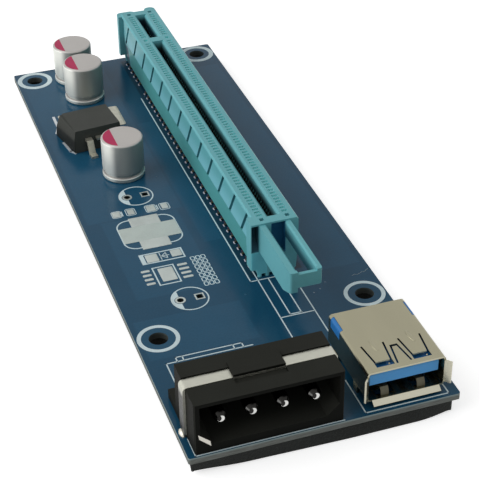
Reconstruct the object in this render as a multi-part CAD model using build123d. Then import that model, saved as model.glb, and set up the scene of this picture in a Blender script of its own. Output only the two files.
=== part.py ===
"""Riser card that carries a full-length expansion card slot, fed by a data socket and a power inlet.

Units are millimetres.  Everything is drawn in board coordinates first: the origin is the front left
corner of the board's upper face, +X runs along the short front edge, +Y runs towards the back, and
+Z points up.  The finished pieces are then moved so that the origin lies under the middle of the
board, on the lower face of the foam pad.
"""
import os
from math import cos, hypot, radians, sin, tan

from build123d import *

# Board and foam pad
board_width = 45.0
board_length = 130.0
board_thickness = 1.2
board_corner_radius = 0.4
foam_thickness = 2.8
foam_inset_front = 0.4
foam_inset_left = 0.3
foam_inset_right = 0.95
foam_inset_back = 0.6
foam_edge_radius = 0.5
tail_protrusion = 0.9
foam_relief_depth = 1.2
foam_relief_margin = 0.8

# Mounting holes
hole_radius = 1.65
hole_inset = 3.9
hole_front_y = 29.5
foam_hole_radius = 2.0

# Expansion card slot: housing
slot_centre_x = 28.8
slot_height = 11.25
slot_half_width = 4.0
slot_foot_half_width = 3.6
slot_standoff = 0.7
slot_taper_height = 5.9
slot_edge_chamfer = 0.3
slot_end_wall = 1.9
slot_front_y = 40.1
left_lobe_length = 1.2
right_lobe_length = 1.8
left_lobe_inner = 0.75
right_lobe_inner = 1.6
lobe_corner_radius = 1.1
ear_reach = 0.8
ear_length = 2.6
post_length = 1.0
post_recess_length = 1.5
post_recess_depth = 1.1
post_recess_top = 10.7
ear_bottom = 1.7
ear_groove_width = 1.3
ear_groove_depth = 2.0
ear_groove_bottom = 5.4
front_roof = 0.35
front_recess_left = -0.95
front_recess_right = 1.5
front_recess_depth = 1.2
front_recess_bottom = 4.5
standoff_radius = 0.4
standoff_xs = (-3.1, -1.7, 1.7, 3.1)
peg_radius = 1.15
peg_inset = 3.2

# Expansion card slot: card channel and contact cavities
short_segment = 11.65
key_width = 1.9
long_segment = 71.65
channel_half = 0.9
channel_depth = 8.6
lead_in = 0.4
contact_pitch = 1.0
short_contacts = 11
long_contacts = 71
cavity_width = 0.5
cavity_outer = 2.9
cavity_lip = 1.8
cavity_lip_height = 2.2
end_pocket_width = 0.8
end_pocket_depth = 1.5
end_pocket_front_gap = 0.6
end_pocket_back_gap = 0.8

# Expansion card slot: side wall pattern
pad_pitch = 6.5
pad_groove_width = 0.9
pad_groove_depth = 0.6
pad_groove_lean = 3.3
pad_groove_top = 10.9
pad_groove_bottom = 5.6
pad_first_y = 44.4

# Expansion card slot: front tail with its open channel
tail_offset = -0.4
tail_half_width = 2.85
tail_channel_left = -1.5
tail_channel_right = 1.9
tail_top = 10.95
tail_bottom = 5.5
tail_length = 15.2
tail_cross_wall = 0.7
tail_cross_drop = 0.45
tail_right_bottom = 7.85
tail_nose_bottom = 7.0
tail_nose_run = 3.4
tail_chamfer = 0.3
tail_corner_radius = 0.45

# Slot contacts
contact_width = 0.4
contact_thickness = 0.2
contact_tip = (2.3, 10.5)
contact_crown = (0.65, 7.9)
contact_row = 2.35
contact_outer_row = 3.95
contact_jog = 0.45
contact_clearance = 0.05
overlap = 0.5

# Data socket
usb_centre_x = 36.25
usb_front_y = 1.9
usb_length = 16.0
usb_top = 6.65
usb_opening_width = 12.7
usb_opening_height = 5.12
usb_sheet = 0.3
usb_left_flare_reach = 0.8
usb_right_flare_reach = 0.85
usb_lip_reach = 0.6
usb_flare_run = 0.9
usb_fold_radius = 0.6
usb_flare_margin = 0.75
usb_floor_margin = 0.9
usb_side_cut_front = 4.6
usb_side_cut_back = 0.8
usb_side_cut_height = 1.9
usb_leg_width = 1.6
usb_leg_ys = (6.4, 14.6)
usb_slit = 0.32
usb_spring_length = 5.6
usb_spring_offset = 3.15
usb_spring_root = 3.4
usb_spring_tip = 2.4
usb_spring_window = 1.3
usb_spring_gap_y = 1.0
usb_vee_half_root = 0.65
usb_vee_half_tip = 1.0
usb_vee_length = 4.5
usb_tongue_width = 11.7
usb_tongue_thickness = 2.45
usb_tongue_setback = 0.9
usb_tongue_drop = 0.75
usb_tongue_chamfer = 0.3
usb_block_length = 6.4
usb_side_clearance = 0.05
usb_contact_thickness = 0.2
usb_power_contact_width = 1.0
usb_power_contact_xs = (-3.5, -1.0, 1.0, 3.5)
usb_signal_contact_xs = (-4.0, -2.0, 0.0, 2.0, 4.0)
usb_power_row_inset = 1.7
usb_signal_row_inset = 3.9
usb_signal_contact_top = 4.65
usb_tail_size = 0.4
usb_tail_hole = 0.7

# Power inlet
power_centre_x = 13.25
power_width = 24.1
power_front_y = 0.45
power_depth = 10.0
power_height = 10.0
power_front_drop = 0.35
power_cavity_half = 11.2
power_cavity_bottom = 1.5
power_cavity_top = 9.0
power_cavity_chamfer = 2.0
power_cavity_depth = 8.4
power_edge_radius = 0.4
power_cheek_length = 4.2
power_cheek_thickness = 1.4
power_cheek_height = 1.7
pin_pitch = 5.08
pin_offset = 0.1
pin_radius = 1.05
pin_height = 5.1
pin_tip_setback = 1.1
pin_tip_length = 0.63
pin_tip_inset = 0.47
pin_tail_radius = 0.8
pin_bend = 1.0
pin_tail_y = 13.6
pin_hole_clearance = 0.15
pin_count = 4
strap_width = 2.2
strap_thickness = 0.4
strap_y = 5.8
strap_top = 9.75
strap_side_gap = 0.02
strap_bend_radius = 0.75
strap_bridge_left = 7.6
strap_bridge_right = 16.0
strap_bridge_proud = 0.25
strap_notch_depth = 1.3
strap_leg_width = 1.5
strap_leg_top = 1.0
strap_band_bottom = 0.6

# Round capacitors
can_radius = 4.1
can_height = 8.35
can_shoulder = 0.45
can_rim_height = 1.1
can_rim_reach = 0.05
can_rim_chamfer = 0.25
can_groove = 0.35
can_groove_height = 0.5
can_groove_run = 0.3
can_standoff = 0.05
can_centres = ((12.4, 124.4), (12.55, 115.3), (12.25, 82.2))
can_lead_radius = 0.3
can_lead_spacing = 3.5
lead_hole_clearance = 0.12

# Empty round capacitor places: plated holes only
spare_can_ys = (73.3, 38.4)
spare_can_x = 12.2
spare_hole_radius = 0.5

# Voltage regulator
regulator_front_left = (5.1, 92.6)
regulator_turn = 6.0
regulator_width = 10.1
regulator_length = 8.9
regulator_base = 0.1
regulator_height = 4.8
regulator_draft = 4.0
regulator_tab_width = 9.7
regulator_tab_thickness = 1.27
regulator_tab_start = 3.1
regulator_tab_reach = 1.8
regulator_tab_corner = 0.8
regulator_lead_width = 1.3
regulator_lead_thickness = 0.5
regulator_lead_pitch = 4.4
regulator_lead_height = 2.65
regulator_lead_reach = 3.4
regulator_lead_foot = 1.5
regulator_lead_shoulder = 0.9
regulator_lead_root = 1.0
regulator_stub_reach = 0.7

# Derived places
board_bottom = -board_thickness
foam_bottom = board_bottom - foam_thickness
slot_channel_length = short_segment + key_width + long_segment
slot_back_y = slot_front_y + slot_channel_length + 2 * slot_end_wall
long_start_y = slot_front_y + slot_end_wall
short_start_y = long_start_y + long_segment + key_width
channel_floor = slot_height - channel_depth
hole_places = [
    (x, y)
    for x in (hole_inset, board_width - hole_inset)
    for y in (hole_front_y, board_length - hole_inset)
]
power_left_x = power_centre_x - power_width / 2
power_back_y = power_front_y + power_depth
pin_xs = [power_centre_x + pin_offset + (i - (pin_count - 1) / 2) * pin_pitch for i in range(pin_count)]
usb_half_width = usb_opening_width / 2 + usb_sheet
usb_bottom = usb_top - usb_opening_height - 2 * usb_sheet
usb_back_y = usb_front_y + usb_length
usb_power_row_y = usb_back_y - usb_power_row_inset
usb_signal_row_y = usb_back_y - usb_signal_row_inset
usb_tongue_top = usb_top - usb_sheet - usb_tongue_drop
usb_tongue_bottom = usb_tongue_top - usb_tongue_thickness
usb_contact_front = usb_front_y + 2 * usb_tongue_setback
strap_half_span = power_width / 2 + strap_side_gap


def box(x0, x1, y0, y1, z0, z1):
    """Box given by its limits."""
    return Pos((x0 + x1) / 2, (y0 + y1) / 2, (z0 + z1) / 2) * Box(x1 - x0, y1 - y0, z1 - z0)


def post(x, y, z0, z1, radius):
    """Upright round post."""
    return Pos(x, y, (z0 + z1) / 2) * Cylinder(radius, z1 - z0)


def prism_y(points, y0, y1):
    """Prism along Y of an outline given as (x, z) points."""
    outline = make_face(Polyline(*[(x, z) for x, z in points], close=True))
    return extrude(Plane(origin=(0, y1, 0), x_dir=(1, 0, 0), z_dir=(0, -1, 0)) * outline, y1 - y0)


def prism_x(points, x0, x1):
    """Prism along X of an outline given as (y, z) points."""
    outline = make_face(Polyline(*[(y, z) for y, z in points], close=True))
    return extrude(Plane(origin=(x0, 0, 0), x_dir=(0, 1, 0), z_dir=(1, 0, 0)) * outline, x1 - x0)


def prism_z(points, z0, z1):
    """Prism along Z of an outline given as (x, y) points."""
    outline = make_face(Polyline(*points, close=True))
    return extrude(Plane.XY.offset(z0) * outline, z1 - z0)


def strip_outline(path, thickness):
    """Closed outline of a bent strip of even thickness along a path, with mitred bends."""
    left = []
    right = []
    for index, (x, z) in enumerate(path):
        before = path[max(index - 1, 0)]
        after = path[min(index + 1, len(path) - 1)]
        runs = [(b[0] - a[0], b[1] - a[1]) for a, b in ((before, (x, z)), ((x, z), after)) if a != b]
        normals = [(-dz / hypot(dx, dz), dx / hypot(dx, dz)) for dx, dz in runs]
        nx = sum(n[0] for n in normals) / len(normals)
        nz = sum(n[1] for n in normals) / len(normals)
        reach = thickness / 2 / (nx * nx + nz * nz)
        left.append((x + nx * reach, z + nz * reach))
        right.append((x - nx * reach, z - nz * reach))
    return left + right[::-1]


def mirror_points(points, centre):
    """Outline mirrored in the upright line at a given place."""
    return [(2 * centre - a, b) for a, b in points]


def joined(shapes):
    """Union of a list of shapes."""
    result = shapes[0]
    for shape in shapes[1:]:
        result = result + shape
    return result


def contact_places():
    """Y of every contact position, front to back."""
    places = []
    for start, length, count in (
        (long_start_y, long_segment, long_contacts),
        (short_start_y, short_segment, short_contacts),
    ):
        margin = (length - (count - 1) * contact_pitch) / 2
        places += [start + margin + i * contact_pitch for i in range(count)]
    return places


def make_circuit_board():
    """Bare board with its mounting holes and the plated holes of the parts it carries."""
    plate = box(0, board_width, 0, board_length, board_bottom, 0)
    plate = fillet(plate.edges().filter_by(Axis.Z), board_corner_radius)
    cuts = [post(x, y, board_bottom - 1, 1, hole_radius) for x, y in hole_places]
    cuts += [
        post(x, pin_tail_y, board_bottom - 1, 1, pin_tail_radius + pin_hole_clearance) for x in pin_xs
    ]
    for x, y in can_centres:
        for side in (-1, 1):
            at = x + side * can_lead_spacing / 2
            cuts.append(post(at, y, board_bottom - 1, 1, can_lead_radius + lead_hole_clearance))
    for y in spare_can_ys:
        for side in (-1, 1):
            at = spare_can_x + side * can_lead_spacing / 2
            cuts.append(post(at, y, board_bottom - 1, 1, spare_hole_radius))
    half = usb_tail_hole / 2
    for offsets, y in ((usb_power_contact_xs, usb_power_row_y), (usb_signal_contact_xs, usb_signal_row_y)):
        for x in (usb_centre_x + offset for offset in offsets):
            cuts.append(box(x - half, x + half, y - half, y + half, board_bottom - 1, 1))
    for leg in usb_leg_boxes(contact_clearance):
        cuts.append(box(*leg))
    for leg in strap_leg_boxes(contact_clearance):
        cuts.append(box(*leg))
    for y in peg_places():
        cuts.append(post(slot_centre_x, y, board_bottom - 1, 1, peg_radius + contact_clearance))
    return plate - cuts


def peg_places():
    """Y of the two pegs that locate the slot housing in the board."""
    return (slot_front_y + peg_inset, slot_back_y - peg_inset)


def make_foam_pad():
    """Soft pad under the board, holed for the screws and relieved where tails come through."""
    pad = box(
        foam_inset_left,
        board_width - foam_inset_right,
        foam_inset_front,
        board_length - foam_inset_back,
        foam_bottom,
        board_bottom,
    )
    pad = fillet(pad.edges().filter_by(Axis.Z), foam_edge_radius)
    cuts = [post(x, y, foam_bottom - 1, 0, foam_hole_radius) for x, y in hole_places]
    relief_floor = board_bottom - foam_relief_depth
    reliefs = [
        (
            slot_centre_x - contact_outer_row - foam_relief_margin,
            slot_centre_x + contact_outer_row + foam_relief_margin,
            slot_front_y,
            slot_back_y - foam_relief_margin,
        ),
        (
            power_left_x - strap_thickness - foam_relief_margin / 4,
            power_centre_x + power_width / 2 + strap_thickness + foam_relief_margin / 4,
            strap_y - strap_width / 2 - foam_relief_margin,
            pin_tail_y + pin_tail_radius + foam_relief_margin,
        ),
        (
            usb_centre_x - usb_half_width - foam_relief_margin,
            usb_centre_x + usb_half_width + foam_relief_margin / 4,
            usb_leg_ys[0] - usb_leg_width / 2 - foam_relief_margin,
            usb_power_row_y + foam_relief_margin,
        ),
    ]
    half = can_lead_spacing / 2 + foam_relief_margin
    for x, y in can_centres:
        reliefs.append((x - half, x + half, y - foam_relief_margin, y + foam_relief_margin))
    for x0, x1, y0, y1 in reliefs:
        cuts.append(box(x0, x1, y0, y1, relief_floor, board_bottom + 1))
    return pad - cuts


def slot_section(bottom):
    """Half outline of the housing's cross-section, as offsets from its middle."""
    return [
        (0, bottom),
        (slot_foot_half_width, bottom),
        (slot_half_width, slot_taper_height),
        (slot_half_width, slot_height - slot_edge_chamfer),
        (slot_half_width - slot_edge_chamfer, slot_height),
        (0, slot_height),
    ]


def make_slot_housing():
    """Moulded housing: key, two channels, contact cavities, side pads, lobed back and open tail."""
    middle = slot_centre_x
    half = [(middle + x, z) for x, z in slot_section(slot_standoff)]
    outline = half + mirror_points(half, middle)[::-1][1:-1]
    solids = [prism_y(outline, slot_front_y, slot_back_y)]
    lobe_top = slot_height - slot_edge_chamfer
    ear_left = middle - slot_half_width - ear_reach
    ear_right = middle - slot_half_width + ear_reach
    for x0, x1, length in (
        (ear_left, middle - left_lobe_inner, left_lobe_length),
        (middle + right_lobe_inner, middle + slot_half_width, right_lobe_length),
    ):
        lobe = box(x0, x1, slot_back_y - post_length, slot_back_y + length, ear_bottom, lobe_top)
        back = lobe.edges().filter_by(Axis.Z).group_by(Axis.Y)[-1]
        solids.append(fillet(back, lobe_corner_radius))
    ear = box(ear_left, ear_right, slot_front_y, slot_front_y + ear_length, ear_bottom, slot_height)
    solids.append(fillet(ear.edges().filter_by(Axis.Z).group_by(Axis.X)[0], slot_edge_chamfer))
    solids.append(make_slot_tail())
    for x in standoff_xs:
        for y in (slot_front_y + standoff_radius, slot_back_y - standoff_radius):
            solids.append(post(middle + x, y, 0, slot_standoff + overlap, standoff_radius))
    for y in peg_places():
        solids.append(post(middle, y, board_bottom + contact_clearance, slot_standoff + overlap, peg_radius))
    housing = joined(solids)
    cuts = [
        prism_y(channel_outline(), long_start_y, long_start_y + long_segment),
        prism_y(channel_outline(), short_start_y, short_start_y + short_segment),
    ]
    recess_back = slot_back_y - post_length
    cuts.append(
        box(
            middle - slot_half_width - 1, middle - slot_half_width + post_recess_depth,
            recess_back - post_recess_length, recess_back, 0, post_recess_top,
        )
    )
    groove_x = middle - slot_half_width + ear_groove_width / 2
    roof = slot_height - front_roof
    cuts.append(
        prism_x(
            [
                (slot_front_y - 1, roof),
                (slot_front_y + ear_groove_depth, roof),
                (slot_front_y + ear_groove_depth, ear_groove_bottom + ear_groove_depth),
                (slot_front_y, ear_groove_bottom),
                (slot_front_y - 1, ear_groove_bottom),
            ],
            groove_x - ear_groove_width,
            groove_x,
        )
    )
    cuts.append(
        box(
            middle + front_recess_left, middle + front_recess_right,
            slot_front_y - 1, slot_front_y + front_recess_depth, front_recess_bottom, roof,
        )
    )
    cavity_inner = channel_half - contact_clearance
    lip_slope = (cavity_lip - cavity_inner) / cavity_lip_height
    cavity = [
        (cavity_outer, slot_height + 1),
        (cavity_outer, slot_standoff - 1),
        (cavity_lip, slot_standoff - 1),
        (cavity_inner, channel_floor),
        (cavity_inner, slot_height - cavity_lip_height),
        (cavity_lip + lip_slope, slot_height + 1),
    ]
    for y in contact_places():
        for side in (-1, 1):
            outline = [(middle + side * x, z) for x, z in cavity]
            cuts.append(prism_y(outline, y - cavity_width / 2, y + cavity_width / 2))
    pocket = end_pocket_width / 2
    pocket_middle = (cavity_lip + cavity_outer) / 2
    for y in (
        long_start_y - end_pocket_front_gap,
        long_start_y + long_segment + key_width / 2,
        short_start_y + short_segment + end_pocket_back_gap,
    ):
        for side in (-1, 1):
            at = middle + side * pocket_middle
            cuts.append(
                box(
                    at - pocket, at + pocket, y - pocket, y + pocket,
                    slot_height - end_pocket_depth, slot_height + 1,
                )
            )
    cuts += side_grooves()
    return housing - cuts


def channel_outline():
    """Cross-section of the card channel with its lead-in."""
    middle = slot_centre_x
    return [
        (middle - channel_half - lead_in - 1, slot_height + 1),
        (middle - channel_half, slot_height - lead_in),
        (middle - channel_half, channel_floor),
        (middle + channel_half, channel_floor),
        (middle + channel_half, slot_height - lead_in),
        (middle + channel_half + lead_in + 1, slot_height + 1),
    ]


def side_grooves():
    """Leaning grooves that part the side walls into pads."""
    last_y = slot_back_y - post_length - post_recess_length - pad_groove_lean
    count = int((last_y - pad_first_y) / pad_pitch) + 1
    cuts = []
    for index in range(count):
        y = pad_first_y + index * pad_pitch
        points = [
            (y - pad_groove_width / 2, pad_groove_top),
            (y + pad_groove_width / 2, pad_groove_top),
            (y + pad_groove_width / 2 + pad_groove_lean, pad_groove_bottom),
            (y - pad_groove_width / 2 + pad_groove_lean, pad_groove_bottom),
        ]
        for side in (-1, 1):
            face = slot_centre_x + side * slot_half_width
            inner = face - side * pad_groove_depth
            cuts.append(prism_x(points, min(inner, face + side), max(inner, face + side)))
    return cuts


def make_slot_tail():
    """Open channel in front of the housing: a deep left wall, a shallow right wall and a cross wall."""
    middle = slot_centre_x + tail_offset
    nose_y = slot_front_y - tail_length
    side_view = [
        (slot_front_y + overlap, tail_bottom),
        (slot_front_y + overlap, tail_top),
        (nose_y, tail_top),
        (nose_y, tail_nose_bottom),
        (nose_y + tail_nose_run, tail_bottom),
    ]
    block = prism_x(side_view, middle - tail_half_width, middle + tail_half_width)
    block = fillet(block.edges().filter_by(Axis.Z).group_by(Axis.Y)[0], tail_corner_radius)
    left = middle + tail_channel_left
    right = middle + tail_channel_right
    channel = [
        (left, tail_bottom - 1),
        (left, tail_top - tail_chamfer),
        (left - tail_chamfer - 1, tail_top + 1),
        (right + tail_chamfer + 1, tail_top + 1),
        (right, tail_top - tail_chamfer),
        (right, tail_bottom - 1),
    ]
    over_cross = box(
        left, right, nose_y - 1, nose_y + tail_cross_wall, tail_top - tail_cross_drop, tail_top + 1
    )
    under_right = box(
        left, middle + tail_half_width + 1, nose_y - 1, slot_front_y, tail_bottom - 1, tail_right_bottom
    )
    return block - [prism_y(channel, nose_y + tail_cross_wall, slot_front_y), over_cross, under_right]


def make_slot_contacts(side):
    """Row of bent spring contacts on one side of the card channel, tails in two staggered rows."""
    middle = slot_centre_x
    inner_path = [contact_tip, contact_crown, (contact_row, contact_clearance)]
    outer_path = [
        contact_tip,
        contact_crown,
        (contact_row, contact_jog),
        (contact_outer_row, contact_clearance + contact_thickness / 2),
    ]
    rows = [strip_outline(path, contact_thickness) for path in (inner_path, outer_path)]
    solids = []
    for index, y in enumerate(contact_places()):
        outline = [(middle + side * x, z) for x, z in rows[index % 2]]
        solids.append(prism_y(outline, y - contact_width / 2, y + contact_width / 2))
    return Compound(children=[solid for shape in solids for solid in shape.solids()])


def usb_leg_boxes(gap):
    """Limits of the four shell legs, widened by a gap where they pass through the board."""
    limits = []
    for y in usb_leg_ys:
        for side in (-1, 1):
            outer = usb_centre_x + side * usb_half_width
            inner = outer - side * usb_sheet
            limits.append(
                (
                    min(outer, inner) - gap,
                    max(outer, inner) + gap,
                    y - usb_leg_width / 2 - gap,
                    y + usb_leg_width / 2 + gap,
                    board_bottom - tail_protrusion,
                    usb_bottom + usb_sheet,
                )
            )
    return limits


def usb_side_windows(gap):
    """Limits of the windows at the rear of both folds of the shell, narrowed by a gap."""
    limits = []
    for side in (-1, 1):
        outer = usb_centre_x + side * (usb_half_width + 1)
        inner = usb_centre_x + side * (usb_half_width - usb_fold_radius + gap)
        limits.append(
            (
                min(outer, inner), max(outer, inner),
                usb_back_y - usb_side_cut_front + gap, usb_back_y - usb_side_cut_back - gap,
                usb_top - usb_side_cut_height + gap, usb_top + 1,
            )
        )
    return limits


def make_usb_shell():
    """Folded sheet shell, flared at the mouth, with cut spring tongues and four legs."""
    middle = usb_centre_x
    tube = box(middle - usb_half_width, middle + usb_half_width, usb_front_y, usb_back_y, usb_bottom, usb_top)
    long_edges = tube.edges().filter_by(Axis.Y)
    tube = fillet(long_edges, usb_fold_radius)
    bore = box(
        middle - usb_opening_width / 2, middle + usb_opening_width / 2,
        usb_front_y - 1, usb_back_y - usb_sheet, usb_bottom + usb_sheet, usb_top - usb_sheet,
    )
    bore = fillet(bore.edges().filter_by(Axis.Y), usb_fold_radius - usb_sheet)
    shell = tube - bore
    solids = [shell]
    for side, reach in ((-1, usb_left_flare_reach), (1, usb_right_flare_reach)):
        wall = middle + side * (usb_half_width - usb_sheet / 2)
        path = [(wall, usb_front_y + 0.01), (wall + side * reach, usb_front_y - usb_flare_run)]
        outline = strip_outline(path, usb_sheet)
        solids.append(prism_z(outline, usb_bottom + usb_flare_margin, usb_top - usb_flare_margin))
    floor_z = usb_bottom + usb_sheet / 2
    lip = strip_outline(
        [(usb_front_y + 0.01, floor_z), (usb_front_y - usb_flare_run, floor_z - usb_lip_reach)], usb_sheet
    )
    lip_half = usb_half_width - usb_floor_margin
    solids.append(prism_x(lip, middle - lip_half, middle + lip_half))
    solids += [box(*leg) for leg in usb_leg_boxes(0)]
    shell = joined(solids)
    cuts = [box(*window) for window in usb_side_windows(0)]
    cuts += [
        box(
            middle - lip_half, middle + lip_half,
            usb_signal_row_y - 1, usb_back_y + 1, usb_bottom - 1, usb_bottom + 2 * usb_sheet,
        )
    ]
    roof = (usb_top - usb_sheet - usb_side_clearance, usb_top + 1)
    floor = (usb_bottom - 1, usb_bottom + usb_sheet + usb_side_clearance)
    for z0, z1 in (roof, floor):
        for side in (-1, 1):
            cuts += spring_slits(middle + side * usb_spring_offset, z0, z1)
    cuts += vee_slits(middle, *roof)
    return shell - cuts


def spring_slits(x, z0, z1):
    """Cuts that free one spring tongue in a wall of the shell: two slits and a window at its tip."""
    tip_y = usb_front_y + usb_spring_gap_y
    window_y = tip_y + usb_spring_window
    root_y = window_y + usb_spring_length - usb_spring_window
    cuts = [
        prism_z(
            [
                (x - usb_spring_tip / 2 - usb_slit, tip_y),
                (x + usb_spring_tip / 2 + usb_slit, tip_y),
                (x + usb_spring_tip / 2 + usb_slit, window_y),
                (x - usb_spring_tip / 2 - usb_slit, window_y),
            ],
            z0, z1,
        )
    ]
    for side in (-1, 1):
        cuts.append(
            prism_z(
                [
                    (x + side * (usb_spring_tip / 2 + usb_slit), window_y - 0.01),
                    (x + side * usb_spring_tip / 2, window_y - 0.01),
                    (x + side * usb_spring_root / 2, root_y),
                    (x + side * (usb_spring_root / 2 + usb_slit), root_y),
                ],
                z0, z1,
            )
        )
    return cuts


def vee_slits(x, z0, z1):
    """Narrow cut in the shape of an open vee between the two spring tongues."""
    tip_y = usb_front_y + usb_spring_gap_y
    root_y = tip_y + usb_vee_length
    cuts = [
        box(x - usb_vee_half_root, x + usb_vee_half_root, root_y - 1.5 * usb_slit, root_y, z0, z1)
    ]
    for side in (-1, 1):
        cuts.append(
            prism_z(
                [
                    (x + side * (usb_vee_half_tip + usb_slit), tip_y),
                    (x + side * usb_vee_half_tip, tip_y),
                    (x + side * (usb_vee_half_root - usb_slit), root_y),
                    (x + side * usb_vee_half_root, root_y),
                ],
                z0, z1,
            )
        )
    return cuts


def make_usb_insulator():
    """Moulded insulator: rear block that fills the shell and the tongue that carries the contacts."""
    middle = usb_centre_x
    block_half = usb_opening_width / 2 - usb_side_clearance
    block_front = usb_back_y - usb_block_length
    block = box(
        middle - block_half, middle + block_half, block_front, usb_back_y - usb_sheet - usb_side_clearance,
        usb_bottom + usb_sheet + usb_side_clearance, usb_top - usb_sheet - usb_side_clearance,
    )
    block = fillet(block.edges().filter_by(Axis.Y), usb_sheet)
    outside = box(
        middle - usb_half_width, middle + usb_half_width, block_front, usb_back_y,
        usb_bottom + usb_sheet, usb_top,
    )
    outside = fillet(outside.edges().filter_by(Axis.Y), usb_fold_radius)
    bosses = [outside & box(*window) for window in usb_side_windows(usb_side_clearance)]
    tongue = box(
        middle - usb_tongue_width / 2, middle + usb_tongue_width / 2,
        usb_front_y + usb_tongue_setback, block_front + overlap, usb_tongue_bottom, usb_tongue_top,
    )
    nose = tongue.edges().filter_by(Axis.X).group_by(Axis.Y)[0]
    tongue = chamfer(nose, usb_tongue_chamfer)
    insulator = joined([block, tongue] + bosses)
    cuts = []
    contact_roof = usb_tongue_bottom + usb_contact_thickness
    for offset in usb_power_contact_xs:
        x = middle + offset
        half = usb_power_contact_width / 2 + usb_side_clearance
        tail_half = usb_tail_size / 2 + usb_side_clearance
        cuts.append(
            box(x - half, x + half, usb_contact_front, block_front, usb_tongue_bottom - 1, contact_roof)
        )
        cuts.append(
            box(
                x - tail_half, x + tail_half, block_front - 0.01, usb_power_row_y + tail_half,
                usb_bottom, contact_roof,
            )
        )
    for offset in usb_signal_contact_xs:
        x = middle + offset
        half = usb_tail_size / 2 + usb_side_clearance
        cuts.append(
            box(
                x - half, x + half, usb_signal_row_y - half, usb_signal_row_y + half,
                usb_bottom, usb_signal_contact_top,
            )
        )
    return insulator - cuts


def make_usb_power_contacts():
    """Four flat contacts under the tongue, narrowed in the rear block and bent down to their holes."""
    solids = []
    z = usb_tongue_bottom + usb_contact_thickness / 2
    narrow_y = usb_back_y - usb_block_length
    for offset in usb_power_contact_xs:
        x = usb_centre_x + offset
        half = usb_power_contact_width / 2
        tail_half = usb_tail_size / 2
        blade = box(
            x - half, x + half, usb_contact_front + contact_clearance, narrow_y - contact_clearance,
            usb_tongue_bottom, usb_tongue_bottom + usb_contact_thickness,
        )
        tail_end = board_bottom - tail_protrusion
        path = [(narrow_y - overlap, z), (usb_power_row_y, z), (usb_power_row_y, tail_end)]
        tail = prism_x(strip_outline(path, usb_contact_thickness), x - tail_half, x + tail_half)
        solids += (blade + tail).solids()
    return Compound(children=solids)


def make_usb_signal_contacts():
    """Tails of the five high-speed contacts, upright in the rear block and through the board."""
    solids = []
    for offset in usb_signal_contact_xs:
        x = usb_centre_x + offset
        solids.append(
            box(
                x - usb_tail_size / 2, x + usb_tail_size / 2,
                usb_signal_row_y - usb_tail_size / 2, usb_signal_row_y + usb_tail_size / 2,
                board_bottom - tail_protrusion, usb_signal_contact_top - usb_side_clearance,
            )
        )
    return Compound(children=[solid for shape in solids for solid in shape.solids()])


def make_power_header_housing():
    """Moulded power inlet: open cavity with chamfered lower corners, rear cheeks and strap bridge."""
    x0 = power_left_x
    x1 = power_left_x + power_width
    middle = power_centre_x
    groove_front = strap_y - strap_width / 2 - contact_clearance
    groove_back = strap_y + strap_width / 2 + contact_clearance
    side_view = [
        (power_front_y, 0),
        (power_front_y, power_height - power_front_drop),
        (groove_front, power_height - power_front_drop),
        (groove_front, power_height),
        (power_back_y, power_height),
        (power_back_y, power_cheek_height),
        (power_back_y + power_cheek_length, power_cheek_height),
        (power_back_y + power_cheek_length, 0),
    ]
    body = prism_x(side_view, x0, x1)
    bridge_x0 = x0 + strap_bridge_left
    bridge_x1 = x0 + strap_bridge_right
    bridge = box(
        bridge_x0, bridge_x1, groove_front - 0.01, groove_back + 1,
        strap_top, power_height + strap_bridge_proud,
    )
    body = fillet(body.edges().filter_by(Axis.Z).group_by(Axis.Y)[0], power_edge_radius) + bridge
    cavity = [
        (middle - power_cavity_half + power_cavity_chamfer, power_cavity_bottom),
        (middle + power_cavity_half - power_cavity_chamfer, power_cavity_bottom),
        (middle + power_cavity_half, power_cavity_bottom + power_cavity_chamfer),
        (middle + power_cavity_half, power_cavity_top),
        (middle - power_cavity_half, power_cavity_top),
        (middle - power_cavity_half, power_cavity_bottom + power_cavity_chamfer),
    ]
    cuts = [prism_y(cavity, power_front_y - 1, power_front_y + power_cavity_depth)]
    cuts += [
        Pos(x, (power_front_y + power_back_y) / 2, pin_height)
        * Rot(90, 0, 0)
        * Cylinder(pin_tail_radius + contact_clearance, power_depth + 2)
        for x in pin_xs
    ]
    cuts.append(
        box(
            x0 + power_cheek_thickness, x1 - power_cheek_thickness,
            power_back_y, power_back_y + power_cheek_length + 1, -1, power_cheek_height + 1,
        )
    )
    tunnel_top = strap_top + contact_clearance
    tunnel_floor = strap_top - strap_thickness - contact_clearance
    cuts.append(box(x0 - 1, x1 + 1, groove_front, groove_back, tunnel_floor, tunnel_top))
    for a, b in ((x0 - 1, bridge_x0), (bridge_x1, x1 + 1)):
        cuts.append(box(a, b, groove_front, groove_back, tunnel_floor, power_height + 1))
    cuts.append(
        box(
            bridge_x0, bridge_x1, groove_front - strap_notch_depth, groove_front,
            tunnel_floor, power_height + 1,
        )
    )
    return body - cuts


def make_power_pin(x):
    """Round mating pin with a rounded tip, stepped down and bent to its hole in the board."""
    front = power_front_y + pin_tip_setback
    wall = power_front_y + power_cavity_depth
    mating = Pos(x, (front + wall) / 2, pin_height) * Rot(90, 0, 0) * Cylinder(pin_radius, wall - front)
    mating = chamfer(mating.edges().group_by(Axis.Y)[0], pin_tip_length, pin_tip_inset)
    route = Polyline(
        (x, wall - overlap, pin_height),
        (x, pin_tail_y - pin_bend, pin_height),
        (x, pin_tail_y, pin_height - pin_bend),
        (x, pin_tail_y, board_bottom - tail_protrusion),
    )
    section = Plane(origin=(x, wall - overlap, pin_height), z_dir=(0, 1, 0)) * Circle(pin_tail_radius)
    return mating + sweep(section, path=route, transition=Transition.RIGHT)


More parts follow.
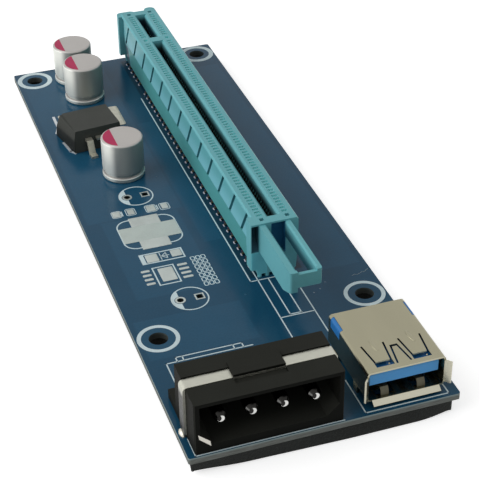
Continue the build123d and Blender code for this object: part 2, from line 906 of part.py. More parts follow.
def strap_leg_boxes(gap):
    """Limits of the two strap legs below the board's upper face, widened by a gap."""
    limits = []
    for side in (-1, 1):
        inner = power_centre_x + side * strap_half_span
        outer = inner + side * strap_thickness
        limits.append(
            (
                min(inner, outer) - gap,
                max(inner, outer) + gap,
                strap_y - strap_leg_width / 2 - gap,
                strap_y + strap_leg_width / 2 + gap,
                board_bottom - tail_protrusion,
                strap_leg_top,
            )
        )
    return limits


def make_power_header_strap():
    """Bent sheet strap over the power inlet, its narrowed legs through the board."""
    left = power_centre_x - strap_half_span - strap_thickness / 2
    right = power_centre_x + strap_half_span + strap_thickness / 2
    crown = strap_top - strap_thickness / 2
    path = [(left, strap_band_bottom), (left, crown), (right, crown), (right, strap_band_bottom)]
    band = prism_y(strip_outline(path, strap_thickness), strap_y - strap_width / 2, strap_y + strap_width / 2)
    bends = [edge for edge in band.edges().filter_by(Axis.Y) if edge.center().Z > strap_top - 1e-3]
    band = fillet(bends, strap_bend_radius)
    return joined([band] + [box(*leg) for leg in strap_leg_boxes(0)])


def make_capacitor(x, y):
    """Sealed can: domed shoulder, rolled groove above the flared base rim."""
    r = can_radius
    foot = can_standoff
    top = foot + can_height
    rim = r + can_rim_reach
    neck = r - can_groove
    neck_bottom = foot + can_rim_height
    neck_top = neck_bottom + can_groove_height
    bend = radians(45)
    profile = Polyline(
        (0, foot),
        (rim - can_rim_chamfer, foot),
        (rim, foot + can_rim_chamfer),
        (rim, neck_bottom - can_groove_run),
        (neck, neck_bottom),
        (neck, neck_top),
        (r, neck_top + can_groove_run),
        (r, top - can_shoulder),
    ) + ThreePointArc(
        (r, top - can_shoulder),
        (r - can_shoulder * (1 - cos(bend)), top - can_shoulder * (1 - sin(bend))),
        (r - can_shoulder, top),
    ) + Polyline((r - can_shoulder, top), (0, top), (0, foot))
    section = make_face(Plane.XZ * profile)
    return Pos(x, y, 0) * revolve(section, Axis.Z)


def make_capacitor_leads(x, y):
    """Two round leads from the base of a can through the board."""
    solids = []
    for side in (-1, 1):
        at = x + side * can_lead_spacing / 2
        lead = post(at, y, board_bottom - tail_protrusion, can_standoff - 0.01, can_lead_radius)
        solids += lead.solids()
    return Compound(children=solids)


def regulator_place():
    """Location of the regulator: its front left corner, turned as it was soldered."""
    return Pos(*regulator_front_left, 0) * Rot(0, 0, regulator_turn)


def make_regulator_body():
    """Moulded package with drafted sides."""
    z0 = regulator_base
    inset = (regulator_height - z0) * tan(radians(regulator_draft))
    base = Rectangle(regulator_width, regulator_length)
    crown = Rectangle(regulator_width - 2 * inset, regulator_length - 2 * inset)
    moulding = loft([Plane.XY.offset(z0) * base, Plane.XY.offset(regulator_height) * crown])
    moulding = Pos(regulator_width / 2, regulator_length / 2, 0) * moulding
    middle = regulator_width / 2
    tab_gap = contact_clearance
    cuts = [
        box(
            middle - regulator_tab_width / 2 - 1, middle + regulator_tab_width / 2 + 1,
            regulator_tab_start - tab_gap, regulator_length + 1,
            z0 - 1, z0 + regulator_tab_thickness + tab_gap,
        )
    ]
    for side in (-1, 0, 1):
        at = middle + side * regulator_lead_pitch / 2
        half = regulator_lead_width / 2 + tab_gap
        cuts.append(
            box(
                at - half, at + half, -1, regulator_lead_root + 4 * tab_gap,
                regulator_lead_height - regulator_lead_thickness / 2 - tab_gap,
                regulator_lead_height + regulator_lead_thickness / 2 + tab_gap,
            )
        )
    return regulator_place() * (moulding - cuts)


def make_regulator_tab():
    """Metal tab under the package, reaching out behind it."""
    middle = regulator_width / 2
    plate = box(
        middle - regulator_tab_width / 2, middle + regulator_tab_width / 2,
        regulator_tab_start, regulator_length + regulator_tab_reach,
        0, regulator_base + regulator_tab_thickness,
    )
    corners = plate.edges().filter_by(Axis.Z).group_by(Axis.Y)[-1]
    return regulator_place() * chamfer(corners, regulator_tab_corner)


def make_regulator_leads():
    """Two formed leads and the cropped middle one."""
    middle = regulator_width / 2
    z = regulator_lead_height
    foot = regulator_lead_thickness / 2
    formed = [
        (regulator_lead_root, z),
        (-regulator_lead_shoulder, z),
        (-(regulator_lead_reach - regulator_lead_foot), foot),
        (-regulator_lead_reach, foot),
    ]
    stub = [(regulator_lead_root, z), (-regulator_stub_reach, z)]
    solids = []
    for side, path in ((-1, formed), (0, stub), (1, formed)):
        at = middle + side * regulator_lead_pitch / 2
        outline = strip_outline(path, regulator_lead_thickness)
        lead = prism_x(outline, at - regulator_lead_width / 2, at + regulator_lead_width / 2)
        solids += (regulator_place() * lead).solids()
    return Compound(children=solids)


def make_parts():
    """Every node of the card in board coordinates."""
    parts = {
        "circuit_board": make_circuit_board(),
        "foam_pad": make_foam_pad(),
        "slot_housing": make_slot_housing(),
        "slot_contacts_left": make_slot_contacts(-1),
        "slot_contacts_right": make_slot_contacts(1),
        "usb_shell": make_usb_shell(),
        "usb_insulator": make_usb_insulator(),
        "usb_power_contacts": make_usb_power_contacts(),
        "usb_signal_contacts": make_usb_signal_contacts(),
        "power_header_housing": make_power_header_housing(),
        "power_header_strap": make_power_header_strap(),
        "regulator_body": make_regulator_body(),
        "regulator_tab": make_regulator_tab(),
        "regulator_leads": make_regulator_leads(),
    }
    for index, x in enumerate(pin_xs, start=1):
        parts[f"power_pin_{index}"] = make_power_pin(x)
    for index, (x, y) in enumerate(can_centres, start=1):
        parts[f"capacitor_{index}"] = make_capacitor(x, y)
        parts[f"capacitor_{index}_leads"] = make_capacitor_leads(x, y)
    return parts


def main():
    """Write one file per node, moved to the card's own frame."""
    os.makedirs("parts", exist_ok=True)
    to_frame = Pos(-board_width / 2, -board_length / 2, -foam_bottom)
    for name, shape in make_parts().items():
        export_step(to_frame * shape, f"parts/{name}.step")


if __name__ == "__main__":
    main()
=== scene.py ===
"""Riser card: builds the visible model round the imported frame.

Pieces are drawn in millimetres from the board's front left corner, on the board's upper face, with
+X along the short front edge and +Y towards the back, and are then put into the frame in metres.
"""

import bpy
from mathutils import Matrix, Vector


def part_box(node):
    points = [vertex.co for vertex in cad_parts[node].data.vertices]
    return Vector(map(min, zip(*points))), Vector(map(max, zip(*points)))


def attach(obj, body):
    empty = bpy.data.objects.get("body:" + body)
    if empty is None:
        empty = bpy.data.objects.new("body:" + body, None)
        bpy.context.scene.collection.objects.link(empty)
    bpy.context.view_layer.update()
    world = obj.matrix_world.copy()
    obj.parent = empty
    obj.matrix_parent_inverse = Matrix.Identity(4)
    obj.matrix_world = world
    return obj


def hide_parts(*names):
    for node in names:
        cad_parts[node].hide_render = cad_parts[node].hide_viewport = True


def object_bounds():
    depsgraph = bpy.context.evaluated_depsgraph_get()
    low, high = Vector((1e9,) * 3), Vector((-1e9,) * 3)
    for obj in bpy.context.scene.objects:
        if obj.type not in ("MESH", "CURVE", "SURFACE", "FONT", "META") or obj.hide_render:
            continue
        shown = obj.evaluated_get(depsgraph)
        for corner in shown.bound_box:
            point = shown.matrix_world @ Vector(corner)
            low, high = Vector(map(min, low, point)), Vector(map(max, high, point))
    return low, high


bl_info = {
    "name": "Riser Card",
    "version": (1, 0, 0),
    "blender": (4, 5, 0),
    "location": "View3D > Sidebar > Riser Card",
    "description": "Board, card slot, data socket, power inlet and round cans of a riser card",
    "category": "Object",
}

import math

import bmesh
import bpy
from bpy.props import FloatProperty, FloatVectorProperty, IntProperty, PointerProperty
from mathutils import Matrix, Vector

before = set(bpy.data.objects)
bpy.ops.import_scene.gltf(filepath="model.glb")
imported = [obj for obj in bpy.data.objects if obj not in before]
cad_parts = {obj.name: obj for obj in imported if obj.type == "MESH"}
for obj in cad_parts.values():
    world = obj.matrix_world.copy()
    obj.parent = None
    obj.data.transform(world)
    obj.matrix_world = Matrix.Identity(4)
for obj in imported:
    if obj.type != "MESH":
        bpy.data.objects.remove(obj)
cad_low, cad_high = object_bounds()
board_low, board_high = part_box("circuit_board")

MM = 0.001
TO_FRAME = Matrix.Translation((board_low.x, board_low.y, board_high.z)) @ Matrix.Scale(MM, 4)
TO_BOARD = TO_FRAME.inverted()
BOARD_WIDTH = (board_high.x - board_low.x) / MM
BOARD_LENGTH = (board_high.y - board_low.y) / MM
FOAM_BOTTOM = (cad_low.z - board_high.z) / MM
BOARD_BOTTOM = (board_low.z - board_high.z) / MM

# Places in board millimetres. SUNK is the offset that puts a piece into the face that carries it.
SLOT_MIDDLE = 28.8
SLOT_OUTER_ROW = 3.95
SLOT_FLUX_ROW = 3.46
SLOT_CONTACTS = [42.825 + i for i in range(71)] + [116.375 + i for i in range(11)]
GROOVE_START = 44.4
GROOVE_PITCH = 6.5
GROOVE_TOP = 10.9
GROOVE_SLANT = 3.3 / 5.3
CAN_PLACES = ((12.4, 124.4), (12.55, 115.3), (12.25, 82.2))
SCREW_PLACES = ((3.9, 29.5), (41.1, 29.5), (3.9, 126.1), (41.1, 126.1))
SPARE_CAN_PLACES = ((12.2, 73.3), (12.2, 38.4))
SPARE_LEAD = 1.75
SUNK = -0.01


def shade(red, green, blue):
    """Linear colour of a display colour given as 0 to 255."""
    return tuple(
        c / 12.92 if c <= 0.04045 else ((c + 0.055) / 1.055) ** 2.4
        for c in (red / 255, green / 255, blue / 255)
    )


def colour_setting(name, red, green, blue):
    """Colour property with a display colour as its default."""
    return FloatVectorProperty(
        name=name, description=f"Colour of the {name.lower()}", default=shade(red, green, blue),
        size=3, min=0, max=1, subtype="COLOR",
    )


def length_setting(name, description, default, high):
    """Length property in millimetres."""
    return level_setting(name, f"{description}, in mm", default, high)


def level_setting(name, description, default, high):
    """Plain number property."""
    return FloatProperty(name=name, description=description, default=default, min=0, max=high)


def group_setting(kind, name):
    """Property that holds one group of settings."""
    return PointerProperty(type=kind, name=name, description=f"{name} settings")


class BoardSettings(bpy.types.PropertyGroup):
    """Solder mask, printed lines and bare pads of the board."""

    mask_colour: colour_setting("Solder mask", 23, 74, 102)
    copper_tint: colour_setting("Mask over copper", 34, 88, 118)
    laminate_colour: colour_setting("Laminate at the cut edges", 122, 126, 122)
    ink_colour: colour_setting("Printed lines and rings", 222, 240, 245)
    pad_colour: colour_setting("Bare tinned pads", 195, 202, 198)
    band_colour: colour_setting("Wide band across the empty coil place", 206, 216, 210)
    ink_height: length_setting("Ink height", "How far the print stands on the lacquer", 0.02, 0.1)
    line_width: length_setting("Line width", "Width of the printed lines", 0.22, 1.0)
    pad_height: length_setting("Pad height", "How far the tinned pads stand up", 0.05, 0.2)


class FoamSettings(bpy.types.PropertyGroup):
    """Soft pad under the board."""

    foam_colour: colour_setting("Foam", 37, 40, 38)
    end_lift: length_setting("End lift", "How far the lower edge curls up at the corners", 0.85, 1.5)
    edge_round: length_setting("Edge rounding", "Width of the pad's rounded lower edge", 0.3, 1.0)
    corner_round: length_setting("Corner rounding", "Radius of the corners seen from above", 0.6, 1.1)
    side_slant: length_setting("Side slant", "How far the left side's foot is cut back", 1.2, 2.0)
    front_bulge: length_setting("Front bulge", "How far the front edge's foot swells", 0.38, 0.4)


class SlotSettings(bpy.types.PropertyGroup):
    """Card slot and its contacts."""

    plastic_colour: colour_setting("Moulded card slot", 114, 188, 196)
    # Darker than bare plating: painted shade for the contacts deep in their cavities.
    contact_colour: colour_setting("Spring contacts", 84, 80, 66)
    solder_colour: colour_setting("Solder joints", 194, 192, 206)
    joint_length: length_setting("Joint length", "Length of one solder joint along the slot", 1.0, 2.0)
    joint_width: length_setting("Joint width", "Width of one solder joint", 0.34, 2.0)


class SocketSettings(bpy.types.PropertyGroup):
    """Data socket."""

    shell_colour: colour_setting("Folded metal shell", 154, 150, 128)
    tongue_colour: colour_setting("Moulded tongue and rear block", 46, 124, 196)
    rib_height: length_setting("Rib height", "Height of the pressed ribs on the springs", 0.12, 0.4)
    spring_width: length_setting("Spring width", "Width of the springs in the floor", 1.35, 3.0)


class InletSettings(bpy.types.PropertyGroup):
    """Power inlet."""

    housing_colour: colour_setting("Moulded inlet", 50, 51, 47)
    strap_colour: colour_setting("Metal strap", 188, 188, 176)
    pin_colour: colour_setting("Round pins", 205, 205, 202)


class CanSettings(bpy.types.PropertyGroup):
    """Round cans."""

    can_colour: colour_setting("Aluminium cans", 186, 182, 178)
    mark_colour: colour_setting("Painted segment on top", 192, 44, 92)
    mark_radius: length_setting("Mark radius", "Outer radius of the painted segment", 3.68, 4.0)


class RegulatorSettings(bpy.types.PropertyGroup):
    """Voltage regulator."""

    body_colour: colour_setting("Moulded body", 62, 64, 60)
    lead_colour: colour_setting("Tinned leads and tab", 188, 186, 172)


class StageSettings(bpy.types.PropertyGroup):
    """Floor, lights and camera."""

    floor_colour: colour_setting("Floor", 238, 238, 238)
    floor_lift: level_setting("Floor lift", "How much brighter the camera sees the floor", 0.65, 1)
    fill_level: level_setting("Fill light", "Level of the even light", 0.35, 2)
    key_power: level_setting("Key light", "Power of the left lamp, in watts", 5.0, 50)
    lens: FloatProperty(
        name="Lens", description="Focal length of the camera", default=107.052, min=20, max=300,
        subtype="DISTANCE_CAMERA",
    )
    floor_steps: IntProperty(
        name="Floor faces", description="Faces along each side of the floor", default=8, min=1, max=64
    )


class CardSettings(bpy.types.PropertyGroup):
    """All settings of the riser card."""

    board: group_setting(BoardSettings, "Board")
    foam: group_setting(FoamSettings, "Foam pad")
    slot: group_setting(SlotSettings, "Card slot")
    socket: group_setting(SocketSettings, "Data socket")
    inlet: group_setting(InletSettings, "Power inlet")
    cans: group_setting(CanSettings, "Round can")
    regulator: group_setting(RegulatorSettings, "Regulator")
    stage: group_setting(StageSettings, "Stage")


def add_node(tree, kind, inputs=None, **settings):
    """New shader node with its settings, and its inputs set or linked."""
    new = tree.nodes.new(kind)
    for key, value in settings.items():
        setattr(new, key, value)
    for key, value in (inputs or {}).items():
        if isinstance(value, bpy.types.NodeSocket):
            tree.links.new(value, new.inputs[key])
        else:
            new.inputs[key].default_value = value
    return new


def start_material(name):
    """New material with its node tree and shader."""
    material = bpy.data.materials.new(name)
    material.use_nodes = True
    return material, material.node_tree, material.node_tree.nodes["Principled BSDF"]


def board_place(tree, stretch=(1, 1, 1)):
    """Place on the card in millimetres from the board's front left corner."""
    corner = (board_low.x, board_low.y, board_high.z)
    mapping = add_node(
        tree, "ShaderNodeMapping",
        {
            "Vector": add_node(tree, "ShaderNodeTexCoord").outputs["Object"],
            "Scale": tuple(s / MM for s in stretch),
            "Location": tuple(-c / MM * s for c, s in zip(corner, stretch)),
        },
    )
    return mapping.outputs["Vector"]


def split(tree, vector):
    """The X, Y and Z of a vector."""
    return add_node(tree, "ShaderNodeSeparateXYZ", {"Vector": vector}).outputs


def surface_facing(tree):
    """The X, Y and Z of the way that the surface faces."""
    return split(tree, add_node(tree, "ShaderNodeNewGeometry").outputs["Normal"])


def noise(tree, place, size, detail=2.0, roughness=0.5):
    """Soft noise whose patches are about size millimetres across."""
    return add_node(
        tree, "ShaderNodeTexNoise",
        {"Vector": place, "Scale": 1 / size, "Detail": detail, "Roughness": roughness},
    ).outputs["Fac"]


def ramp(tree, value, low, high, to_low=0.0, to_high=1.0):
    """Value spread from one range to another, held at its ends."""
    return add_node(
        tree, "ShaderNodeMapRange",
        {"Value": value, "From Min": low, "From Max": high, "To Min": to_low, "To Max": to_high},
        interpolation_type="SMOOTHSTEP",
    ).outputs["Result"]


def calculate(tree, operation, first, second=0.0):
    """Result of one operation on two values."""
    return add_node(tree, "ShaderNodeMath", {0: first, 1: second}, operation=operation).outputs["Value"]


def multiply(tree, product, *values):
    """Product of two or more values."""
    for value in values:
        product = calculate(tree, "MULTIPLY", product, value)
    return product


def mix_colours(tree, factor, first, second):
    """Mix of two colours."""
    colours = {6: colour_input(first), 7: colour_input(second)}
    return add_node(tree, "ShaderNodeMix", {0: factor, **colours}, data_type="RGBA").outputs[2]


def colour_input(colour):
    """Colour with an alpha, or the socket that it comes from."""
    return colour if isinstance(colour, bpy.types.NodeSocket) else (*colour[:3], 1.0)


def scaled(colour, factor):
    """Colour made lighter or darker."""
    return tuple(min(1.0, c * factor) for c in colour[:3])


def inside(tree, value, low, high, soft=0.25):
    """One between two limits, with soft edges."""
    rising = ramp(tree, value, low - soft, low + soft)
    return multiply(tree, rising, ramp(tree, value, high - soft, high + soft, 1.0, 0.0))


def field(tree, place, x0, x1, y0, y1, soft=0.25):
    """One inside a rectangle on the board, with soft edges."""
    return multiply(tree, inside(tree, place["X"], x0, x1, soft), inside(tree, place["Y"], y0, y1, soft))


def add_relief(tree, shader, height, depth, strength=1.0, invert=False):
    """Relief of the surface, its depth in millimetres."""
    inputs = {"Height": height, "Distance": depth * MM, "Strength": strength}
    relief = add_node(tree, "ShaderNodeBump", inputs, invert=invert)
    tree.links.new(relief.outputs["Normal"], shader.inputs["Normal"])


def make_finish(
    name, colour, roughness, metallic=0.0, specular=0.5, patch=(0.1, 5.0), grain=(0.06, 0.25),
    gloss_spread=0.06, bump=0.002, stretch=(1, 1, 1),
):
    """Finish with slow patches of tone, a fine grain in colour and gloss, and a shallow relief.

    Patch and grain are each a strength and a size in millimetres.
    """
    material, tree, shader = start_material(name)
    place = board_place(tree, stretch)
    patches = noise(tree, place, patch[1], 3.0)
    grains = noise(tree, place, grain[1], 2.0)
    layers = []
    for value, low, high, swing in ((patches, 0.3, 0.7, patch[0]), (grains, 0.35, 0.65, grain[0] * 3)):
        share = ramp(tree, value, low, high)
        layers.append(mix_colours(tree, share, scaled(colour, 1 - swing), scaled(colour, 1 + swing)))
    tree.links.new(mix_colours(tree, 0.33, *layers), shader.inputs["Base Color"])
    gloss = ramp(tree, grains, 0.3, 0.7, roughness - gloss_spread, roughness + gloss_spread)
    tree.links.new(gloss, shader.inputs["Roughness"])
    add_relief(tree, shader, grains, bump)
    shader.inputs["Metallic"].default_value = metallic
    shader.inputs["Specular IOR Level"].default_value = specular
    return material


def make_board_material(settings):
    """Lacquer over copper on both faces, and glass laminate on the cut edges, with painted shade beside the
    card slot and in the holes, and a painted highlight along the upper cut edges.
    """
    material, tree, shader = start_material("solder_mask")
    vector = board_place(tree)
    place = split(tree, vector)
    face = ramp(tree, calculate(tree, "ABSOLUTE", surface_facing(tree)["Z"]), 0.45, 0.55)

    copper = 0.0
    for limits in (
        (1.0, 19.4, 66.5, 129.0), (3.4, 18.2, 40.8, 66.2), (19.8, 23.2, 54.0, 100.0),
        (33.6, 44.0, 38.5, 120.0), (1.0, 20.0, 24.2, 35.0), (24.4, 33.2, 42.0, 128.0),
    ):
        copper = calculate(tree, "MAXIMUM", copper, field(tree, place, *limits))
    clouds = noise(tree, vector, 9.0, 3.0)
    level = calculate(tree, "ADD", multiply(tree, copper, 0.55), multiply(tree, clouds, 0.6))
    lacquer = mix_colours(tree, level, settings.mask_colour, settings.copper_tint)
    # Painted shade: a dark band on the lacquer along and under the card slot.
    strip = multiply(tree, field(tree, place, 23.9, 33.7, 40.4, 128.4), 0.65)
    lacquer = mix_colours(tree, strip, lacquer, shade(14, 32, 46))
    fine = noise(tree, vector, 0.35, 2.0)
    specks = ramp(tree, fine, 0.35, 0.65, 0.0, 0.16)
    lacquer = mix_colours(tree, specks, lacquer, scaled(settings.mask_colour, 0.6))

    fibres = noise(tree, board_place(tree, (0.35, 0.35, 9.0)), 1.0, 4.0, 0.65)
    laminate = settings.laminate_colour
    edge = mix_colours(tree, ramp(tree, fibres, 0.3, 0.7), scaled(laminate, 0.62), scaled(laminate, 1.3))
    # Painted highlight: the upper part of every cut edge is paler.
    edge = mix_colours(tree, ramp(tree, place["Z"], -0.45, -0.1, 0.0, 0.75), edge, shade(158, 178, 178))
    # Painted shade: cut edges inside the outline, the walls of the holes, are dark.
    inner = multiply(tree, field(tree, place, 0.8, BOARD_WIDTH - 0.8, 0.8, BOARD_LENGTH - 0.8), 0.85)
    edge = mix_colours(tree, inner, edge, shade(52, 56, 54))
    tree.links.new(mix_colours(tree, face, edge, lacquer), shader.inputs["Base Color"])

    gloss = ramp(tree, noise(tree, vector, 4.0, 3.0), 0.3, 0.7, 0.17, 0.26)
    rough = add_node(tree, "ShaderNodeMix", {0: face, 2: 0.75, 3: gloss}, data_type="FLOAT").outputs[0]
    tree.links.new(rough, shader.inputs["Roughness"])
    waves = noise(tree, vector, 2.2, 2.0)
    add_relief(tree, shader, calculate(tree, "ADD", waves, multiply(tree, fine, 0.06)), 0.03, 0.6)
    shader.inputs["Specular IOR Level"].default_value = 0.15
    return material


def make_foam_material(settings):
    """Closed-cell foam: dark, matte, with pores and a little dust."""
    material, tree, shader = start_material("soft_foam")
    place = board_place(tree)
    pores = add_node(
        tree, "ShaderNodeTexVoronoi", {"Vector": place, "Scale": 1 / 0.28, "Randomness": 1.0}
    ).outputs["Distance"]
    foam = settings.foam_colour
    colour = mix_colours(tree, ramp(tree, pores, 0.1, 0.55), scaled(foam, 1.25), scaled(foam, 0.55))
    dust = ramp(tree, noise(tree, place, 3.0, 5.0, 0.6), 0.55, 0.8, 0.0, 0.35)
    tree.links.new(mix_colours(tree, dust, colour, scaled(foam, 2.4)), shader.inputs["Base Color"])
    add_relief(tree, shader, pores, 0.08, invert=True)
    shader.inputs["Roughness"].default_value = 0.85
    shader.inputs["Specular IOR Level"].default_value = 0.25
    return material


def read_coat(material):
    """Node tree, place on the card, way the surface faces, and colour so far."""
    tree = material.node_tree
    colour = tree.nodes["Principled BSDF"].inputs["Base Color"].links[0].from_socket
    return tree, split(tree, board_place(tree)), surface_facing(tree), colour


def write_coat(tree, colour):
    """Makes a mixed colour the material's own."""
    tree.links.new(colour, tree.nodes["Principled BSDF"].inputs["Base Color"])


def paint_slot_shade_and_light(material):
    """Painted shade in the channels, the slot's end recess, the ear grooves and the gap at the back end, and
    painted light on the front face below the ear groove and on the contact cavities' walls, box by box.
    """
    tree, place, _, colour = read_coat(material)
    # Each row paints shade or light: the tone starts at the height shallow, is full from deep down, and ends
    # at floor.
    for x0, x1, y0, y1, shallow, deep, floor, tone, amount in (
        # Painted shade in the long and short channels, the tail's channel, the end recess and the ear
        # groove.
        (27.75, 29.85, 41.95, 113.7, 11.3, 9.0, 0.0, shade(24, 22, 26), 0.96),
        (27.75, 29.85, 115.5, 127.25, 10.95, 9.6, 0.0, shade(18, 30, 52), 0.94),
        (26.9, 30.34, 25.5, 40.05, 10.4, 8.4, 0.0, shade(16, 60, 82), 0.8),
        (27.75, 30.4, 40.02, 41.45, 10.99, 10.8, 4.5, shade(24, 96, 142), 0.9),
        (24.1, 25.5, 40.14, 42.2, 10.95, 10.6, 5.4, shade(16, 50, 74), 0.85),
        # Painted light on the front face below the ear groove.
        (24.1, 27.0, 39.9, 40.25, 5.5, 5.3, 0.2, shade(124, 226, 240), 0.7),
        # Painted shade in the gap at the back end.
        (24.85, 26.4, 124.2, 127.9, 6.4, 6.0, 0.0, shade(18, 46, 72), 0.85),
        # Painted light on the walls of the contact cavities.
        (25.9, 27.5, 41.9, 127.3, 11.22, 11.15, 6.0, shade(170, 255, 255), 0.85),
        (30.1, 31.7, 41.9, 127.3, 11.22, 11.15, 6.0, shade(170, 255, 255), 0.85),
    ):
        depth = ramp(tree, place["Z"], deep, shallow, amount, 0.0)
        above = ramp(tree, place["Z"], floor - 0.1, floor + 0.1)
        share = multiply(tree, field(tree, place, x0, x1, y0, y1, 0.04), depth, above)
        colour = mix_colours(tree, share, colour, tone)
    write_coat(tree, colour)


def paint_slot_side_light_and_shade(material):
    """Painted light on the pads, paler towards their foot, and painted shade in the grooves between them and
    on the foot below, on both sides.
    """
    tree, place, _, colour = read_coat(material)
    aside = calculate(tree, "ABSOLUTE", calculate(tree, "SUBTRACT", place["X"], SLOT_MIDDLE))
    outside = multiply(tree, ramp(tree, aside, 3.3, 3.4), inside(tree, place["Y"], 42.3, 123.5, 0.2))

    # Painted light: the pads are lighter than the plastic, most near their foot.
    pad = multiply(tree, outside, inside(tree, place["Z"], 5.8, 10.6, 0.1), 0.9)
    tone = mix_colours(tree, ramp(tree, place["Z"], 6.0, 10.2), shade(136, 208, 221), shade(104, 180, 187))
    colour = mix_colours(tree, pad, colour, tone)
    # Painted shade on the foot that slopes in below the pads.
    foot = multiply(tree, outside, ramp(tree, place["Z"], 5.7, 5.85, 0.8, 0.0))
    colour = mix_colours(tree, foot, colour, shade(82, 168, 166))

    # Painted shade along the slanted grooves between the pads.
    run = multiply(tree, calculate(tree, "SUBTRACT", GROOVE_TOP, place["Z"]), GROOVE_SLANT)
    along = calculate(tree, "SUBTRACT", calculate(tree, "SUBTRACT", place["Y"], run), GROOVE_START)
    line = ramp(tree, calculate(tree, "PINGPONG", along, GROOVE_PITCH / 2), 0.44, 0.54, 1.0, 0.0)
    groove = multiply(tree, outside, line, inside(tree, place["Z"], 5.65, GROOVE_TOP, 0.08), 0.5)
    write_coat(tree, mix_colours(tree, groove, colour, shade(26, 82, 90)))


def paint_socket_light_and_shade(plastic, metal):
    """Painted light on the tongue's front, painted shade on the plastic low inside, and a painted highlight
    on the shell's rim.
    """
    tree, place, _, colour = read_coat(plastic)
    # Painted light: the tongue's front face is paler.
    painted_nose_light = ramp(tree, place["Y"], 3.0, 4.2, 0.75, 0.0)
    colour = mix_colours(tree, painted_nose_light, colour, shade(96, 184, 252))
    # Painted shade: the plastic low inside the socket is darker.
    low = inside(tree, place["Z"], 0.0, 3.0, 0.15)
    within = inside(tree, place["X"], 30.1, 42.4, 0.1)
    hollow = multiply(tree, within, low, inside(tree, place["Y"], 3.2, 17.6, 0.2), 0.92)
    write_coat(tree, mix_colours(tree, hollow, colour, shade(34, 34, 32)))

    tree, place, _, colour = read_coat(metal)
    # Painted highlight: the shell's front rim is paler.
    rim = ramp(tree, place["Y"], 1.75, 2.0, 0.7, 0.0)
    write_coat(tree, mix_colours(tree, rim, colour, shade(200, 197, 180)))


def paint_reflection_by_height(material, tint, low, high, amount):
    """Mixes in a colour from one height up, as a painted reflection."""
    tree, place, _, colour = read_coat(material)
    share = ramp(tree, place["Z"], low, high, 0.0, amount)
    write_coat(tree, mix_colours(tree, share, colour, tint))


def paint_dark_flank(material, tint, high, amount, axis="X"):
    """Mixes a painted shade or dark reflection into the faces that look along one axis, below a height."""
    tree, place, facing, colour = read_coat(material)
    flank = ramp(tree, calculate(tree, "ABSOLUTE", facing[axis]), 0.7, 0.9, 0.0, amount)
    below = ramp(tree, place["Z"], high - 1.2, high, 1.0, 0.0)
    write_coat(tree, mix_colours(tree, multiply(tree, flank, below), colour, tint))


def paint_pin_reflections(material, tip):
    """Paints dark reflections on the pins behind and on the upper left of their polished tips."""
    tree, place, facing, colour = read_coat(material)
    painted_dark = ramp(tree, place["Y"], tip + 0.45, tip + 0.85, 0.0, 0.96)
    painted_dark = calculate(tree, "MAXIMUM", painted_dark, ramp(tree, facing["X"], -0.3, -0.05, 0.8, 0.0))
    painted_dark = calculate(tree, "MAXIMUM", painted_dark, ramp(tree, facing["Z"], 0.2, 0.5, 0.0, 0.97))
    write_coat(tree, mix_colours(tree, painted_dark, colour, shade(22, 21, 19)))


def paint_can_light_and_shade(material):
    """Bright rolled foot under painted shade in the groove, and sides with a painted highlight on the left
    and painted shade on the right.
    """
    tree, place, facing, colour = read_coat(material)
    # Painted shade in the groove above the foot.
    groove = multiply(tree, inside(tree, place["Z"], 0.95, 1.6, 0.12), 0.6)
    colour = mix_colours(tree, groove, colour, shade(84, 88, 86))
    foot = ramp(tree, place["Z"], 0.8, 1.0, 0.9, 0.0)
    colour = mix_colours(tree, foot, colour, shade(232, 236, 228))
    # Painted highlight on the left of the sides, painted shade on the right.
    upright = ramp(tree, calculate(tree, "ABSOLUTE", facing["Z"]), 0.3, 0.6, 1.0, 0.0)
    for left, right, tone in ((0.0, 0.75, shade(140, 146, 143)), (0.9, 0.0, shade(246, 248, 240))):
        share = multiply(tree, upright, ramp(tree, facing["X"], -0.8, -0.5, left, right))
        colour = mix_colours(tree, share, colour, tone)
    write_coat(tree, colour)


def dress(names, material):
    """Gives CAD nodes their finish."""
    for name in names:
        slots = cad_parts[name].material_slots
        if not slots:
            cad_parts[name].data.materials.append(material)
        for slot in slots:
            slot.material = material


def board_box(name):
    """Box of a CAD node in board millimetres."""
    low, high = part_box(name)
    return TO_BOARD @ low, TO_BOARD @ high


def verts_of(items):
    """Mesh corners among the items that an operator made."""
    return [item for item in items if isinstance(item, bmesh.types.BMVert)]


def faces_of(items):
    """Faces among the items that an operator made."""
    return [item for item in items if isinstance(item, bmesh.types.BMFace)]


def place_mesh(shape, name):
    """Turns a shape in the frame's metres into an object of the scene."""
    mesh = bpy.data.meshes.new(name)
    shape.to_mesh(mesh)
    shape.free()
    placed = bpy.data.objects.new(name, mesh)
    bpy.context.scene.collection.objects.link(placed)
    return placed


def finish_piece(shape, name, material, smooth=False):
    """Turns a shape in board millimetres into a piece that moves with the card."""
    bmesh.ops.recalc_face_normals(shape, faces=shape.faces)
    bmesh.ops.transform(shape, matrix=TO_FRAME, verts=shape.verts)
    piece = place_mesh(shape, name)
    for polygon in piece.data.polygons:
        polygon.use_smooth = smooth
    piece.data.materials.append(material)
    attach(piece, "root")
    return piece


def spread(x0, x1, y0, y1, z, height=1.0):
    """Matrix that spreads a unit shape over a rectangle, its middle at z."""
    middle = Matrix.Translation(((x0 + x1) / 2, (y0 + y1) / 2, z))
    return middle @ Matrix.Diagonal((x1 - x0, y1 - y0, height, 1))


def straight_run(start, end, z):
    """Length of a run between two places, and the matrix that lays a shape's X axis along it."""
    start, end = Vector(start), Vector(end)
    run, middle = end - start, (start + end) / 2
    turn = Matrix.Rotation(math.atan2(run.y, run.x), 4, "Z")
    return run.length, Matrix.Translation((*middle, z)) @ turn


